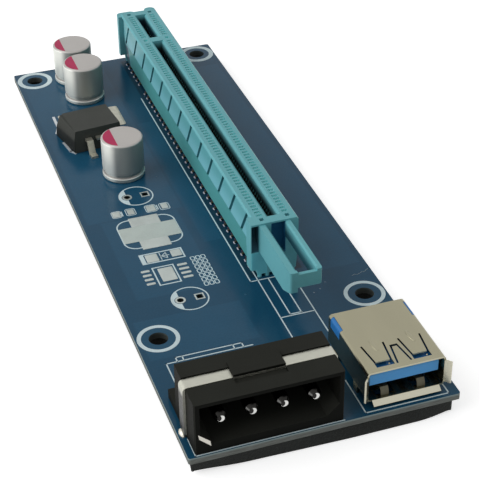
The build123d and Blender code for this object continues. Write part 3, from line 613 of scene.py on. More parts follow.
def add_slab(shape, x0, x1, y0, y1, bottom, top):
    """Closed rectangular slab given by its limits."""
    matrix = spread(x0, x1, y0, y1, (bottom + top) / 2, top - bottom)
    bmesh.ops.create_cube(shape, size=1, matrix=matrix)


def add_line(shape, start, end, width, bottom, top):
    """Closed straight bar between two places."""
    length, matrix = straight_run(start, end, (bottom + top) / 2)
    matrix = matrix @ Matrix.Diagonal((length + width, width, top - bottom, 1))
    bmesh.ops.create_cube(shape, size=1, matrix=matrix)


def add_ring(shape, x, y, inner, outer, bottom, top, steps):
    """Closed flat ring."""
    corners = [
        shape.verts.new((x + radius, y, z))
        for radius, z in ((inner, bottom), (outer, bottom), (outer, top), (inner, top))
    ]
    edges = [shape.edges.new((corners[i], corners[(i + 1) % 4])) for i in range(4)]
    bmesh.ops.spin(
        shape, geom=corners + edges, cent=(x, y, 0), axis=(0, 0, 1), angle=math.tau, steps=steps,
        use_merge=True, use_duplicate=False,
    )


def raise_faces(shape, faces, height):
    """Turns flat faces into a closed slab of that height."""
    made = bmesh.ops.extrude_face_region(shape, geom=faces, use_keep_orig=True)["geom"]
    bmesh.ops.translate(shape, vec=(0, 0, height), verts=verts_of(made))
    return faces_of(made)


def flat_face(shape, x0, x1, y0, y1, z, corner=0.0, segments=4):
    """Flat rectangular face with rounded corners."""
    matrix = spread(x0, x1, y0, y1, z)
    verts = bmesh.ops.create_grid(shape, x_segments=1, y_segments=1, size=0.5, matrix=matrix)["verts"]
    if corner:
        verts = bmesh.ops.bevel(
            shape, geom=verts, offset=corner, affect="VERTICES", segments=segments, profile=0.5, material=-1,
        )["verts"]
    return list({face for vert in verts for face in vert.link_faces})


def inset(shape, faces, width):
    """Rim of even width along the outline of some faces."""
    return bmesh.ops.inset_region(
        shape, faces=faces, thickness=width, depth=0, use_even_offset=True, use_boundary=True
    )["faces"]


def add_plate(shape, x0, x1, y0, y1, top, corner, crown):
    """Closed plate on the board with rounded corners, its upper face drawn in and raised by the crown."""
    upper = raise_faces(shape, flat_face(shape, x0, x1, y0, y1, SUNK, corner), top - SUNK)
    inset(shape, upper, corner * 0.7)
    bmesh.ops.translate(shape, vec=(0, 0, crown), verts=list({v for face in upper for v in face.verts}))


def add_frame(shape, x0, x1, y0, y1, width, bottom, top, corner=0.0):
    """Closed outline of a rounded rectangle."""
    faces = flat_face(shape, x0, x1, y0, y1, bottom, corner, segments=8)
    rim = inset(shape, faces, width)
    bmesh.ops.delete(shape, geom=faces, context="FACES_ONLY")
    raise_faces(shape, rim, top - bottom)


def add_disc_segment(shape, x, y, radius, offset, bottom, top, steps):
    """Closed segment of a disc, left of a straight line at that distance from the middle."""
    made = bmesh.ops.create_circle(
        shape, cap_ends=True, segments=steps, radius=radius, matrix=Matrix.Translation((x, y, bottom))
    )["verts"]
    geom = list({item for vert in made for item in (vert, *vert.link_edges, *vert.link_faces)})
    cut = bmesh.ops.bisect_plane(
        shape, geom=geom, plane_co=(x - offset, y, bottom), plane_no=(1, 0, 0), clear_outer=True
    )["geom"]
    raise_faces(shape, faces_of(cut), top - bottom)


def add_notched_segment(shape, x, y, radius, offset, notch, bottom, top, steps=40):
    """Disc segment with a round notch in the middle of its straight side, for a pad."""
    start = math.acos(-offset / radius)
    outline = []
    for step in range(steps + 1):
        angle = start + (math.tau - 2 * start) * step / steps
        outline.append((x + radius * math.cos(angle), y + radius * math.sin(angle), bottom))
    for step in range(steps // 2 + 1):
        angle = -math.pi / 2 - math.pi * step / (steps // 2)
        outline.append((x - offset + notch * math.cos(angle), y + notch * math.sin(angle), bottom))
    face = shape.faces.new([shape.verts.new(place) for place in outline])
    raise_faces(shape, [face], top - bottom)


def add_dome(shape, x, y, z, reach_x, reach_y, height, around=8, up=4):
    """Low rounded lump, closed, its lower half sunk in what carries it."""
    matrix = Matrix.Translation((x, y, z)) @ Matrix.Diagonal((reach_x, reach_y, height, 1))
    bmesh.ops.create_uvsphere(shape, u_segments=around, v_segments=up, radius=1, matrix=matrix)


def bent_strip(shape, path, x, width, thickness):
    """Bent metal strip of even width, its middle line given as (y, z) places."""
    verts = [shape.verts.new((x - width / 2, y, z)) for y, z in path]
    edges = [shape.edges.new(pair) for pair in zip(verts, verts[1:])]
    made = bmesh.ops.extrude_edge_only(shape, edges=edges)["geom"]
    bmesh.ops.translate(shape, vec=(width, 0, 0), verts=verts_of(made))
    bmesh.ops.solidify(shape, geom=faces_of(made), thickness=thickness)


class CARD_OT_board(bpy.types.Operator):
    """Finish the bare board with lacquer, copper fields and laminate edges"""

    bl_idname = "riser.board"
    bl_label = "Board"

    def execute(self, context):
        dress(["circuit_board"], make_board_material(context.scene.riser_card.board))
        return {"FINISHED"}


class CARD_OT_print(bpy.types.Operator):
    """Make the printed lines, rings and outlines on the board"""

    bl_idname = "riser.print"
    bl_label = "Printed lines"

    def execute(self, context):
        settings = context.scene.riser_card.board
        ink = make_finish(
            "printed_ink", settings.ink_colour, 0.55, specular=0.3, patch=(0.06, 2.0), grain=(0.05, 0.12),
            bump=0.004,
        )
        span = (-settings.ink_height, settings.ink_height)

        lines = bmesh.new()
        for x0, y0, x1, y1 in (
            (23.67, 39.4, 23.67, 110.2), (23.67, 39.4, 28.26, 39.4), (25.0, 22.3, 25.0, 42.2),
            (26.9, 28.3, 26.9, 39.2), (28.9, 28.3, 28.9, 33.9), (31.25, 21.8, 31.25, 35.0),
            (25.1, 27.9, 31.1, 27.9), (26.9, 28.3, 28.97, 28.3), (29.06, 0.7, 43.23, 0.7),
            (29.06, 0.7, 29.06, 9.0), (43.23, 0.7, 43.23, 2.85), (1.2, 0.3, 1.2, 4.3), (1.2, 0.3, 25.3, 0.3),
            (3.25, 22.65, 18.1, 22.65), (3.25, 22.65, 3.25, 11.0), (5.12, 23.75, 16.57, 23.75),
            (5.12, 22.7, 5.12, 23.75), (16.57, 22.7, 16.57, 23.75), (6.24, 22.7, 6.24, 23.7),
            (15.01, 22.7, 15.01, 23.7),
        ):
            add_line(lines, (x0, y0), (x1, y1), settings.line_width, *span)
        finish_piece(lines, "printed_lines", ink)

        rings = bmesh.new()
        for x, y in SCREW_PLACES:
            inner, outer = (2.92, 3.64) if y < BOARD_LENGTH / 2 else (2.78, 3.76)
            add_ring(rings, x, y, inner, outer, *span, 64)
        for x, y in SPARE_CAN_PLACES:
            add_ring(rings, x, y, 3.12, 3.36, *span, 56)
            add_notched_segment(rings, x, y, 3.13, SPARE_LEAD, 1.05, *span)
        finish_piece(rings, "printed_rings", ink)

        outlines = bmesh.new()
        add_frame(outlines, 5.7, 16.95, 55.9, 65.6, 0.26, *span, corner=2.4)
        add_frame(outlines, 7.2, 15.25, 50.65, 53.85, 0.28, *span)
        add_slab(outlines, 7.48, 8.0, 50.93, 53.57, *span)
        add_frame(outlines, 8.32, 12.42, 43.65, 49.3, 0.26, *span)
        for x0, y0, x1, y1 in (
            (10.95, 51.25, 10.95, 53.3), (11.15, 52.3, 12.1, 53.2), (11.15, 52.3, 12.1, 51.4),
            (12.1, 51.4, 12.1, 53.2), (10.95, 52.3, 12.5, 52.3),
        ):
            add_line(outlines, (x0, y0), (x1, y1), 0.16, *span)
        for x in (8.15, 15.05):
            add_slab(outlines, x - 0.2, x, 67.3, 68.9, *span)
        for limits in (
            (6.0, 7.9, 66.95, 69.3), (8.75, 10.7, 67.0, 69.4), (12.55, 14.75, 66.85, 69.35),
            (15.3, 17.3, 66.85, 69.2),
        ):
            add_frame(outlines, *limits, 0.14, *span, corner=0.5)
        row_pitch, column_pitch = 1.36, 0.98
        for y in (49.7 - row * row_pitch for row in range(7)):
            for x in (16.2 + column * column_pitch for column in range(3)):
                add_frame(outlines, x - 0.44, x + 0.44, y - 0.6, y + 0.6, 0.17, *span, corner=0.3)
        finish_piece(outlines, "printed_outlines", ink)
        return {"FINISHED"}


class CARD_OT_pads(bpy.types.Operator):
    """Make the bare tinned pads of the empty places on the board"""

    bl_idname = "riser.pads"
    bl_label = "Tinned pads"

    def execute(self, context):
        settings = context.scene.riser_card.board
        height = settings.pad_height
        tin = make_finish(
            "tinned_copper", settings.pad_colour, 0.45, metallic=0.5, specular=0.3, patch=(0.07, 2.5),
            grain=(0.03, 0.3), gloss_spread=0.08,
        )
        coil = bmesh.new()
        add_plate(coil, 8.55, 14.2, 62.9, 66.0, height, 0.15, 0.02)
        add_plate(coil, 8.6, 14.05, 55.3, 58.2, height, 0.15, 0.02)
        finish_piece(coil, "coil_pads", tin)

        pale = make_finish(
            "pale_band", settings.band_colour, 0.5, specular=0.25, patch=(0.05, 3.0), grain=(0.02, 0.3)
        )
        band = bmesh.new()
        add_plate(band, 5.85, 16.8, 58.1, 63.0, height + 0.02, 0.15, 0.02)
        finish_piece(band, "coil_band", pale)

        pads = bmesh.new()
        for limits in (
            (6.2, 7.7, 67.2, 69.05), (9.1, 10.4, 67.3, 69.1), (12.8, 14.5, 67.1, 69.1),
            (15.7, 17.0, 67.2, 69.0), (8.2, 10.45, 51.0, 53.4), (12.95, 14.9, 51.4, 53.45),
            (9.25, 11.95, 44.6, 48.65),
        ):
            add_plate(pads, *limits, height, 0.18, 0.03)
        pitch, half = 1.3, 0.31
        for y in (48.6 - row * pitch for row in range(4)):
            for x0, x1 in ((6.25, 7.85), (12.95, 14.8)):
                add_plate(pads, x0, x1, y - half, y + half, height, 0.2, 0.02)
        finish_piece(pads, "small_pads", tin)

        collars = bmesh.new()
        for x, y in SPARE_CAN_PLACES:
            add_ring(collars, x - SPARE_LEAD, y, 0.6, 0.94, SUNK, height, 24)
            square, half = x + SPARE_LEAD, 0.84
            add_frame(collars, square - half, square + half, y - half, y + half, 0.24, 0, height)
        finish_piece(collars, "hole_collars", tin)

        dark = make_finish("hole_shade", shade(26, 34, 34), 0.6, specular=0.1, grain=(0.06, 0.1), bump=0.001)
        walls = bmesh.new()
        for x, y in SPARE_CAN_PLACES:
            for side in (-1, 1):
                add_ring(walls, x + side * SPARE_LEAD, y, 0.44, 0.6, BOARD_BOTTOM - 0.02, height * 0.5, 24)
        finish_piece(walls, "hole_walls", dark)
        return {"FINISHED"}


class CARD_OT_marks(bpy.types.Operator):
    """Make the covered vias, the specks and the scratch on the lacquer"""

    bl_idname = "riser.marks"
    bl_label = "Vias and scratch"

    def execute(self, context):
        settings = context.scene.riser_card.board
        covered = make_finish(
            "covered_copper", settings.copper_tint, 0.25, specular=0.3, patch=(0.08, 1.0), grain=(0.04, 0.1),
            bump=0.006,
        )
        vias = bmesh.new()
        for x, y in ((32.9, 32.6), (34.3, 33.3), (35.9, 34.9), (21.6, 36.2), (17.9, 78.6), (36.3, 96.0)):
            add_dome(vias, x, y, 0, 0.24, 0.24, 0.012, around=12)
        finish_piece(vias, "covered_vias", covered, smooth=True)

        pale = make_finish(
            "scuffed_lacquer", scaled(settings.ink_colour, 0.55), 0.7, specular=0.2, grain=(0.06, 0.1),
            bump=0.006,
        )
        scuffs = bmesh.new()
        trail = (
            (41.1, 35.1), (41.7, 35.3), (42.1, 35.1), (42.7, 35.35), (43.2, 35.6), (43.6, 35.45),
            (44.1, 35.9), (44.5, 36.1),
        )
        for start, end in zip(trail, trail[1:]):
            add_line(scuffs, start, end, 0.07, SUNK, 0.012)
        for x, y in ((32.95, 32.65), (34.35, 33.35), (34.6, 24.9), (24.6, 4.4), (31.6, 18.9)):
            add_dome(scuffs, x, y, 0, 0.09, 0.09, 0.045)
        finish_piece(scuffs, "scuff_marks", pale)
        return {"FINISHED"}


def bend_pad(place, low, high, settings):
    """Moves one point of the pad: its ends lift, the left side slants, the front swells."""
    edge = 0.02
    left, right = place.x - low.x, high.x - place.x
    front, back = place.y - low.y, high.y - place.y
    depth = (high.z - place.z) / (high.z - low.z)
    # Each row lifts the lower edge round one end, by a share that fades over its reach.
    for share, aside, reach_x, ahead, reach_y in (
        (1.0, left, 6.0, front, 7.0), (0.5, right, 2.4, front, 6.0),
        (0.35, min(left, right), 5.0, back, 5.0),
    ):
        lift = settings.end_lift * share * math.exp(-((aside / reach_x) ** 2) - (ahead / reach_y) ** 2)
        place.z += lift * depth
    if depth > 0.9 and min(left, right, front, back) < edge:
        place.z += settings.edge_round * 0.6 * depth
    if left < 2.5:
        slant = 1.0 - math.exp(-front / 2.5)
        place.x += settings.side_slant * depth * slant * (1 - left / 2.5)
    if front < 2.0:
        along = max(0.0, min(1.0, (left - 12.0) / 14.0)) * max(0.0, min(1.0, (right - 1.5) / 4.0))
        place.y -= settings.front_bulge * math.sin(depth * math.pi / 2) * along * (1 - front / 2.0)
    if right < edge or back < edge:
        swell = 0.06 + 0.05 * math.sin((place.x + place.y) * 0.6)
        pull = swell * (1 - math.sin(depth * math.pi))
        if right < edge:
            place.x -= pull
        else:
            place.y -= pull


def cut_pad(piece):
    """Cuts the screw holes through the pad and the hollows over the soldered tails into it."""
    cutter = bmesh.new()
    screw_clearance, hollow = 2.0, BOARD_BOTTOM - 1.2
    for x, y in SCREW_PLACES:
        bmesh.ops.create_cone(
            cutter, cap_ends=True, segments=32, radius1=screw_clearance, radius2=screw_clearance, depth=8,
            matrix=Matrix.Translation((x, y, FOAM_BOTTOM)),
        )
    for limits in (
        (24.05, 33.55, 40.1, 128.3), (0.6, 25.9, 3.9, 15.2), (28.8, 43.1, 4.8, 17.0),
        (9.85, 14.95, 123.6, 125.2), (10.0, 15.1, 114.5, 116.1), (9.7, 14.8, 81.4, 83.0),
    ):
        add_slab(cutter, *limits, hollow, 1.0)
    bmesh.ops.transform(cutter, matrix=TO_FRAME, verts=cutter.verts)
    tool = place_mesh(cutter, "pad_cutter")
    boolean = piece.modifiers.new("hollows", "BOOLEAN")
    boolean.operation = "DIFFERENCE"
    boolean.solver = "EXACT"
    boolean.object = tool
    bpy.context.view_layer.update()
    evaluated = piece.evaluated_get(bpy.context.evaluated_depsgraph_get())
    cut = bpy.data.meshes.new_from_object(evaluated)
    piece.modifiers.clear()
    piece.data = cut
    bpy.data.objects.remove(tool)


class CARD_OT_foam(bpy.types.Operator):
    """Make the soft pad under the board, with rounded lower edges and lifted corners"""

    bl_idname = "riser.foam"
    bl_label = "Foam pad"

    def execute(self, context):
        settings = context.scene.riser_card.foam
        low, high = board_box("foam_pad")
        shape = bmesh.new()
        whole = spread(low.x, high.x, low.y, high.y, high.z)
        bmesh.ops.create_grid(shape, x_segments=36, y_segments=104, size=0.5, matrix=whole)
        bmesh.ops.bevel(
            shape, geom=[vert for vert in shape.verts if len(vert.link_edges) == 2],
            offset=settings.corner_round, affect="VERTICES", segments=4, profile=0.5, material=-1,
        )
        inset(shape, list(shape.faces), settings.edge_round)
        layer = list(shape.faces)
        for level in (0.78, 0.5, 0.25, 0.08, 0.0):
            made = bmesh.ops.extrude_face_region(shape, geom=layer, use_keep_orig=level == 0.78)["geom"]
            layer = faces_of(made)
            for vert in verts_of(made):
                vert.co.z = low.z + (high.z - low.z) * level
        for vert in shape.verts:
            bend_pad(vert.co, low, high, settings)
        piece = finish_piece(shape, "foam_cushion", make_foam_material(settings), smooth=True)
        cut_pad(piece)
        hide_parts("foam_pad")
        return {"FINISHED"}


class CARD_OT_slot(bpy.types.Operator):
    """Finish the card slot and its contacts, and make their solder joints"""

    bl_idname = "riser.slot"
    bl_label = "Card slot"

    def execute(self, context):
        settings = context.scene.riser_card.slot
        plastic = make_finish(
            "slot_plastic", settings.plastic_colour, 0.42, specular=0.2, patch=(0.05, 9.0),
            grain=(0.02, 0.18),
        )
        paint_slot_shade_and_light(plastic)
        paint_slot_side_light_and_shade(plastic)
        dress(["slot_housing"], plastic)
        # Painted shade: the contacts' colour is kept dark for their place deep in the cavities.
        contact = make_finish(
            "plated_contact", settings.contact_colour, 0.42, metallic=1.0, patch=(0.15, 1.5),
            grain=(0.05, 0.2), bump=0.001,
        )
        # Painted reflection: the contact tips take the teal of the plastic round them.
        paint_reflection_by_height(contact, shade(116, 196, 200), 8.0, 8.8, 0.9)
        dress(["slot_contacts_left", "slot_contacts_right"], contact)

        solder = make_finish(
            "solder", settings.solder_colour, 0.5, metallic=0.1, patch=(0.12, 1.2), grain=(0.06, 0.15),
            gloss_spread=0.1,
        )
        flux = make_finish(
            "flux", shade(78, 54, 70), 0.4, specular=0.2, patch=(0.3, 1.0), grain=(0.06, 0.1)
        )
        reach = (settings.joint_width / 2, settings.joint_length / 2, 0.14)
        joints, residue = bmesh.new(), bmesh.new()
        for side in (-1, 1):
            for y in SLOT_CONTACTS[1::2]:
                add_dome(joints, SLOT_MIDDLE + side * SLOT_OUTER_ROW, y, 0, *reach)
            for y in SLOT_CONTACTS[::2]:
                add_dome(residue, SLOT_MIDDLE + side * SLOT_FLUX_ROW, y, 0, 0.14, 0.4, 0.08)
        finish_piece(joints, "slot_solder_joints", solder, smooth=True)
        finish_piece(residue, "slot_flux_spots", flux, smooth=True)
        return {"FINISHED"}


class CARD_OT_socket(bpy.types.Operator):
    """Finish the data socket and make the pressed ribs on its springs"""

    bl_idname = "riser.socket"
    bl_label = "Data socket"

    def execute(self, context):
        settings = context.scene.riser_card.socket
        sheet = make_finish(
            "plated_sheet", settings.shell_colour, 0.26, metallic=1.0, patch=(0.04, 4.0), grain=(0.004, 1.2),
            bump=0.00005, gloss_spread=0.01, stretch=(1, 0.15, 1),
        )
        moulded = make_finish(
            "blue_plastic", settings.tongue_colour, 0.38, specular=0.3, patch=(0.05, 4.0), grain=(0.02, 0.2),
            bump=0.001,
        )
        gold = make_finish(
            "gold_contact", shade(196, 160, 92), 0.28, metallic=1.0, patch=(0.08, 1.5), grain=(0.06, 0.2),
            bump=0.001,
        )
        paint_socket_light_and_shade(moulded, sheet)
        dress(["usb_shell"], sheet)
        dress(["usb_insulator"], moulded)
        dress(["usb_power_contacts", "usb_signal_contacts"], gold)

        ribs = bmesh.new()
        for start, end in (((33.1, 9.6), (33.33, 6.6)), ((39.5, 10.0), (39.83, 6.9))):
            length, matrix = straight_run(start, end, 6.65)
            matrix = matrix @ Matrix.Diagonal((length / 2, 0.38, settings.rib_height, 1))
            bmesh.ops.create_uvsphere(ribs, u_segments=16, v_segments=10, radius=1, matrix=matrix)
        for x in (33.8, 40.2):
            add_dome(ribs, x, 3.25, 6.6, 0.16, 0.14, 0.16, around=10, up=6)
        finish_piece(ribs, "spring_ribs", sheet, smooth=True)

        # Painted shade: the lower springs are a darker copy of the shell's metal, deep in the socket.
        painted_dark = make_finish(
            "shaded_spring", scaled(settings.shell_colour, 0.32), 0.5, metallic=0.8, patch=(0.1, 1.0),
            grain=(0.03, 0.3), bump=0.001,
        )
        springs = bmesh.new()
        path = ((7.4, 1.0), (5.2, 1.35), (3.6, 2.2), (3.05, 2.3), (2.75, 1.9), (2.6, 1.1))
        for x in (32.95, 39.15):
            bent_strip(springs, path, x, settings.spring_width, 0.2)
        finish_piece(springs, "lower_springs", painted_dark)
        return {"FINISHED"}


class CARD_OT_inlet(bpy.types.Operator):
    """Finish the power inlet, its strap and its pins"""

    bl_idname = "riser.inlet"
    bl_label = "Power inlet"

    def execute(self, context):
        settings = context.scene.riser_card.inlet
        pin_names = [f"power_pin_{i}" for i in range(1, 5)]
        housing = make_finish(
            "black_plastic", settings.housing_colour, 0.55, specular=0.02, patch=(0.08, 7.0),
            grain=(0.04, 0.2),
        )
        strap = make_finish(
            "strap_metal", settings.strap_colour, 0.4, metallic=0.9, patch=(0.05, 4.0), grain=(0.03, 0.35),
            bump=0.0008, stretch=(0.3, 1, 1),
        )
        pin = make_finish(
            "pin_metal", settings.pin_colour, 0.14, metallic=1.0, patch=(0.05, 2.0), grain=(0.02, 0.3),
            bump=0.0003, gloss_spread=0.03,
        )
        # Painted dark reflection on the strap's side faces below its top.
        paint_dark_flank(strap, shade(22, 22, 19), 8.9, 0.97)
        # Painted shade on the housing's side faces and front faces.
        paint_dark_flank(housing, shade(16, 16, 14), 30.0, 0.75)
        paint_dark_flank(housing, shade(22, 23, 21), 30.0, 0.9, axis="Y")
        # Painted dark reflections on the pins.
        paint_pin_reflections(pin, board_box(pin_names[0])[0].y)
        dress(["power_header_housing"], housing)
        dress(["power_header_strap"], strap)
        dress(pin_names, pin)

        solder = make_finish(
            "foot_solder", shade(206, 204, 192), 0.25, metallic=0.9, patch=(0.12, 1.2), grain=(0.06, 0.2)
        )
        feet = bmesh.new()
        for x in (0.75, 25.75):
            add_dome(feet, x, 5.8, 0, 0.55, 1.1, 0.75, around=16, up=8)
        finish_piece(feet, "strap_foot_solder", solder, smooth=True)

        # Painted highlight: a thin pale plate on the cavity's lower left chamfer stands in for a glint.
        bright = make_finish(
            "corner_glint", shade(200, 197, 188), 0.35, metallic=0.8, patch=(0.04, 0.8), grain=(0.02, 0.2),
            bump=0.0005,
        )
        tab = bmesh.new()
        corners = ((1.86, 0.31, 3.1), (3.7, 0.31, 1.35), (3.62, 0.45, 2.2), (1.74, 0.45, 3.9))
        face = tab.faces.new([tab.verts.new(place) for place in corners])
        raised = bmesh.ops.extrude_face_region(tab, geom=[face], use_keep_orig=True)["geom"]
        bmesh.ops.translate(tab, vec=(0, 0.06, 0), verts=verts_of(raised))
        finish_piece(tab, "corner_highlight", bright)

        # Painted shade: a flat dark disc on each pin's end stands in for a shaded bore.
        hollow = make_finish(
            "pin_bore_shade", shade(30, 28, 26), 0.5, specular=0.2, grain=(0.06, 0.1), bump=0.0005
        )
        bores = bmesh.new()
        aside, above, half_width, half_height = 0.26, 0.1, 0.34, 0.5
        for name in pin_names:
            low, high = board_box(name)
            radius = (high.x - low.x) / 2
            matrix = (
                Matrix.Translation((low.x + radius - aside, low.y + SUNK, high.z - radius + above))
                @ Matrix.Diagonal((half_width, 1, half_height, 1))
                @ Matrix.Rotation(math.pi / 2, 4, "X")
            )
            bmesh.ops.create_cone(
                bores, cap_ends=True, segments=20, radius1=1, radius2=1, depth=0.06, matrix=matrix
            )
        finish_piece(bores, "pin_bore_shades", hollow)
        return {"FINISHED"}


class CARD_OT_cans(bpy.types.Operator):
    """Finish the round cans and paint their polarity marks"""

    bl_idname = "riser.cans"
    bl_label = "Round cans"

    def execute(self, context):
        settings = context.scene.riser_card.cans
        names = [f"capacitor_{i}" for i in range(1, 4)]
        aluminium = make_finish(
            "can_aluminium", settings.can_colour, 0.4, metallic=0.5, specular=0.3, patch=(0.02, 4.0),
            grain=(0.006, 0.4), bump=0.0001, gloss_spread=0.03,
        )
        lead = make_finish(
            "can_lead", shade(190, 188, 180), 0.3, metallic=1.0, patch=(0.08, 1.5), grain=(0.06, 0.2),
            bump=0.001,
        )
        paint_can_light_and_shade(aluminium)
        dress(names, aluminium)
        dress([f"{name}_leads" for name in names], lead)

        paint = make_finish(
            "polarity_paint", settings.mark_colour, 0.45, specular=0.2, patch=(0.06, 1.5),
            grain=(0.04, 0.12), bump=0.001,
        )
        marks = bmesh.new()
        paint_height, offsets = 0.02, (2.1, 1.6, 1.6)
        for name, (x, y), offset in zip(names, CAN_PLACES, offsets):
            top = board_box(name)[1].z
            span = (top - paint_height, top + paint_height)
            add_disc_segment(marks, x, y, settings.mark_radius, offset, *span, 64)
        finish_piece(marks, "polarity_marks", paint)
        return {"FINISHED"}


class CARD_OT_regulator(bpy.types.Operator):
    """Finish the voltage regulator and make its left flank and the solder under and round it"""

    bl_idname = "riser.regulator"
    bl_label = "Regulator"

    def execute(self, context):
        settings = context.scene.riser_card.regulator
        body = make_finish(
            "moulded_epoxy", settings.body_colour, 0.55, specular=0.2, patch=(0.08, 3.0), grain=(0.05, 0.16),
            bump=0.006,
        )
        metal = make_finish(
            "regulator_metal", settings.lead_colour, 0.4, metallic=0.8, patch=(0.12, 1.4), grain=(0.05, 0.25)
        )
        dress(["regulator_body"], body)
        dress(["regulator_tab", "regulator_leads"], metal)
        solder = bmesh.new()
        add_plate(solder, 5.0, 17.8, 100.8, 109.0, 0.06, 0.5, 0.05)
        finish_piece(solder, "regulator_solder", metal)

        pale = make_finish(
            "pale_solder", shade(216, 222, 226), 0.35, metallic=0.3, patch=(0.08, 1.0), grain=(0.03, 0.2)
        )
        seams = bmesh.new()
        for start, end, width in (
            ((4.1, 108.5), (4.05, 104.3), 0.55), ((4.05, 104.3), (3.2, 101.8), 0.45),
            ((3.75, 97.5), (4.3, 93.8), 0.5), ((4.3, 93.8), (5.05, 92.7), 0.4),
        ):
            add_line(seams, start, end, width, 0.0, 0.12)
        finish_piece(seams, "regulator_seams", pale)

        flank_finish = make_finish(
            "flank_epoxy", settings.body_colour, 0.6, specular=0.1, patch=(0.08, 2.0), grain=(0.05, 0.16),
            bump=0.004,
        )
        # Painted shade on the lower part of the regulator's flank.
        paint_dark_flank(flank_finish, shade(26, 29, 28), 3.5, 0.9)
        flank = bmesh.new()
        loops = []
        front = (
            (5.6, 93.0, 4.78), (5.38, 92.96, 4.78), (5.05, 92.8, 3.0), (4.95, 92.68, 0.02), (5.5, 92.9, 0.02)
        )
        back = (
            (4.9, 100.9, 4.78), (3.95, 100.65, 4.78), (3.1, 100.4, 2.7), (3.06, 101.3, 0.02),
            (4.5, 101.3, 0.02),
        )
        for outline in (front, back):
            verts = [flank.verts.new(place) for place in outline]
            loops += [flank.edges.new(pair) for pair in zip(verts, verts[1:] + verts[:1])]
            flank.faces.new(verts)
        bmesh.ops.bridge_loops(flank, edges=loops)
        finish_piece(flank, "regulator_flank", flank_finish)
        return {"FINISHED"}


def seen_directly(tree):
    """One where the camera sees a surface straight, mirrored or through something clear."""
    path = add_node(tree, "ShaderNodeLightPath").outputs
    seen = calculate(tree, "MAXIMUM", path["Is Camera Ray"], path["Is Glossy Ray"])
    return calculate(tree, "MAXIMUM", seen, path["Is Transmission Ray"])


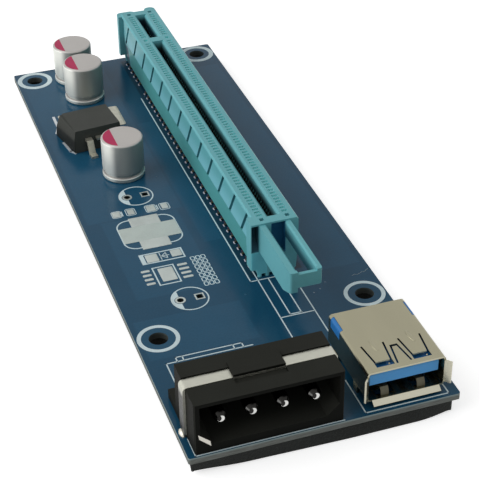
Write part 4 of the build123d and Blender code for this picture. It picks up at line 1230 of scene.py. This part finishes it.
class CARD_OT_stage(bpy.types.Operator):
    """Make the floor, the lights and the camera"""

    bl_idname = "riser.stage"
    bl_label = "Stage"

    def execute(self, context):
        settings = context.scene.riser_card.stage
        scene = context.scene
        scene.view_settings.view_transform = "Standard"

        floor_material, tree, shader = start_material("pale_floor")
        tone = noise(tree, board_place(tree), 60.0, 2.0)
        colour = mix_colours(tree, tone, scaled(settings.floor_colour, 0.985), settings.floor_colour)
        tree.links.new(colour, shader.inputs["Base Color"])
        shader.inputs["Roughness"].default_value = 1.0
        shader.inputs["Specular IOR Level"].default_value = 0.0
        strength = multiply(tree, seen_directly(tree), settings.floor_lift)
        lift = add_node(tree, "ShaderNodeEmission", {"Color": (1, 1, 1, 1), "Strength": strength})
        shaders = {0: shader.outputs["BSDF"], 1: lift.outputs["Emission"]}
        both = add_node(tree, "ShaderNodeAddShader", shaders)
        tree.links.new(both.outputs["Shader"], tree.nodes["Material Output"].inputs["Surface"])

        ground = bmesh.new()
        steps = settings.floor_steps
        level = Matrix.Translation((0, 0, cad_low.z))
        bmesh.ops.create_grid(ground, x_segments=steps, y_segments=steps, size=1.5, matrix=level)
        floor = place_mesh(ground, "floor")
        floor.data.materials.append(floor_material)

        scene.world = bpy.data.worlds.new("studio")
        scene.world.use_nodes = True
        sky = scene.world.node_tree
        background = sky.nodes["Background"]
        background.inputs["Color"].default_value = (1, 1, 1, 1)
        levels = {0: seen_directly(sky), 2: settings.fill_level, 3: 1.0}
        strength = add_node(sky, "ShaderNodeMix", levels, data_type="FLOAT")
        sky.links.new(strength.outputs[0], background.inputs["Strength"])

        lamp = bpy.data.lights.new("key_light", "AREA")
        lamp.energy = settings.key_power
        lamp.size = 1.0
        spot = Vector((-0.74, 0.06, 0.52))
        holder = bpy.data.objects.new("key_light", lamp)
        aim = (-spot).to_track_quat("-Z", "Y").to_matrix().to_4x4()
        holder.matrix_world = Matrix.Translation(spot) @ aim
        scene.collection.objects.link(holder)

        azimuth, elevation, roll = math.radians(18.5131), math.radians(34.422), math.radians(-0.8336)
        eye = TO_FRAME @ Vector((-42.3315, -152.1011, 147.7308))
        camera = bpy.data.objects.new("camera", bpy.data.cameras.new("camera"))
        camera.data.lens = settings.lens
        camera.data.sensor_width = 36.0
        camera.data.clip_start = 0.01
        camera.data.clip_end = 20.0
        camera.matrix_world = (
            Matrix.Translation(eye)
            @ Matrix.Rotation(-azimuth, 4, "Z")
            @ Matrix.Rotation(math.pi / 2 - elevation, 4, "X")
            @ Matrix.Rotation(roll, 4, "Z")
        )
        scene.collection.objects.link(camera)
        scene.camera = camera
        return {"FINISHED"}


OPERATORS = (
    CARD_OT_stage, CARD_OT_board, CARD_OT_print, CARD_OT_pads, CARD_OT_marks, CARD_OT_foam, CARD_OT_slot,
    CARD_OT_socket, CARD_OT_inlet, CARD_OT_cans, CARD_OT_regulator,
)


class CARD_PT_panel(bpy.types.Panel):
    """Panel that lists the pieces of the riser card"""

    bl_idname = "CARD_PT_panel"
    bl_label = "Riser Card"
    bl_space_type = "VIEW_3D"
    bl_region_type = "UI"
    bl_category = "Riser Card"

    def draw(self, context):
        for operator in OPERATORS:
            self.layout.operator(operator.bl_idname)


CLASSES = (
    BoardSettings, FoamSettings, SlotSettings, SocketSettings, InletSettings, CanSettings, RegulatorSettings,
    StageSettings, CardSettings, *OPERATORS, CARD_PT_panel,
)


def register():
    """Adds the settings, the operators and the panel to Blender."""
    for item in CLASSES:
        bpy.utils.register_class(item)
    bpy.types.Scene.riser_card = group_setting(CardSettings, "Riser card")


def unregister():
    """Takes them out again."""
    del bpy.types.Scene.riser_card
    for item in reversed(CLASSES):
        bpy.utils.unregister_class(item)


def main():
    """Builds every piece."""
    register()
    for call in (
        bpy.ops.riser.stage, bpy.ops.riser.board, bpy.ops.riser.print, bpy.ops.riser.pads,
        bpy.ops.riser.marks, bpy.ops.riser.foam, bpy.ops.riser.slot, bpy.ops.riser.socket,
        bpy.ops.riser.inlet, bpy.ops.riser.cans, bpy.ops.riser.regulator,
    ):
        call()


if __name__ == "__main__":
    main()
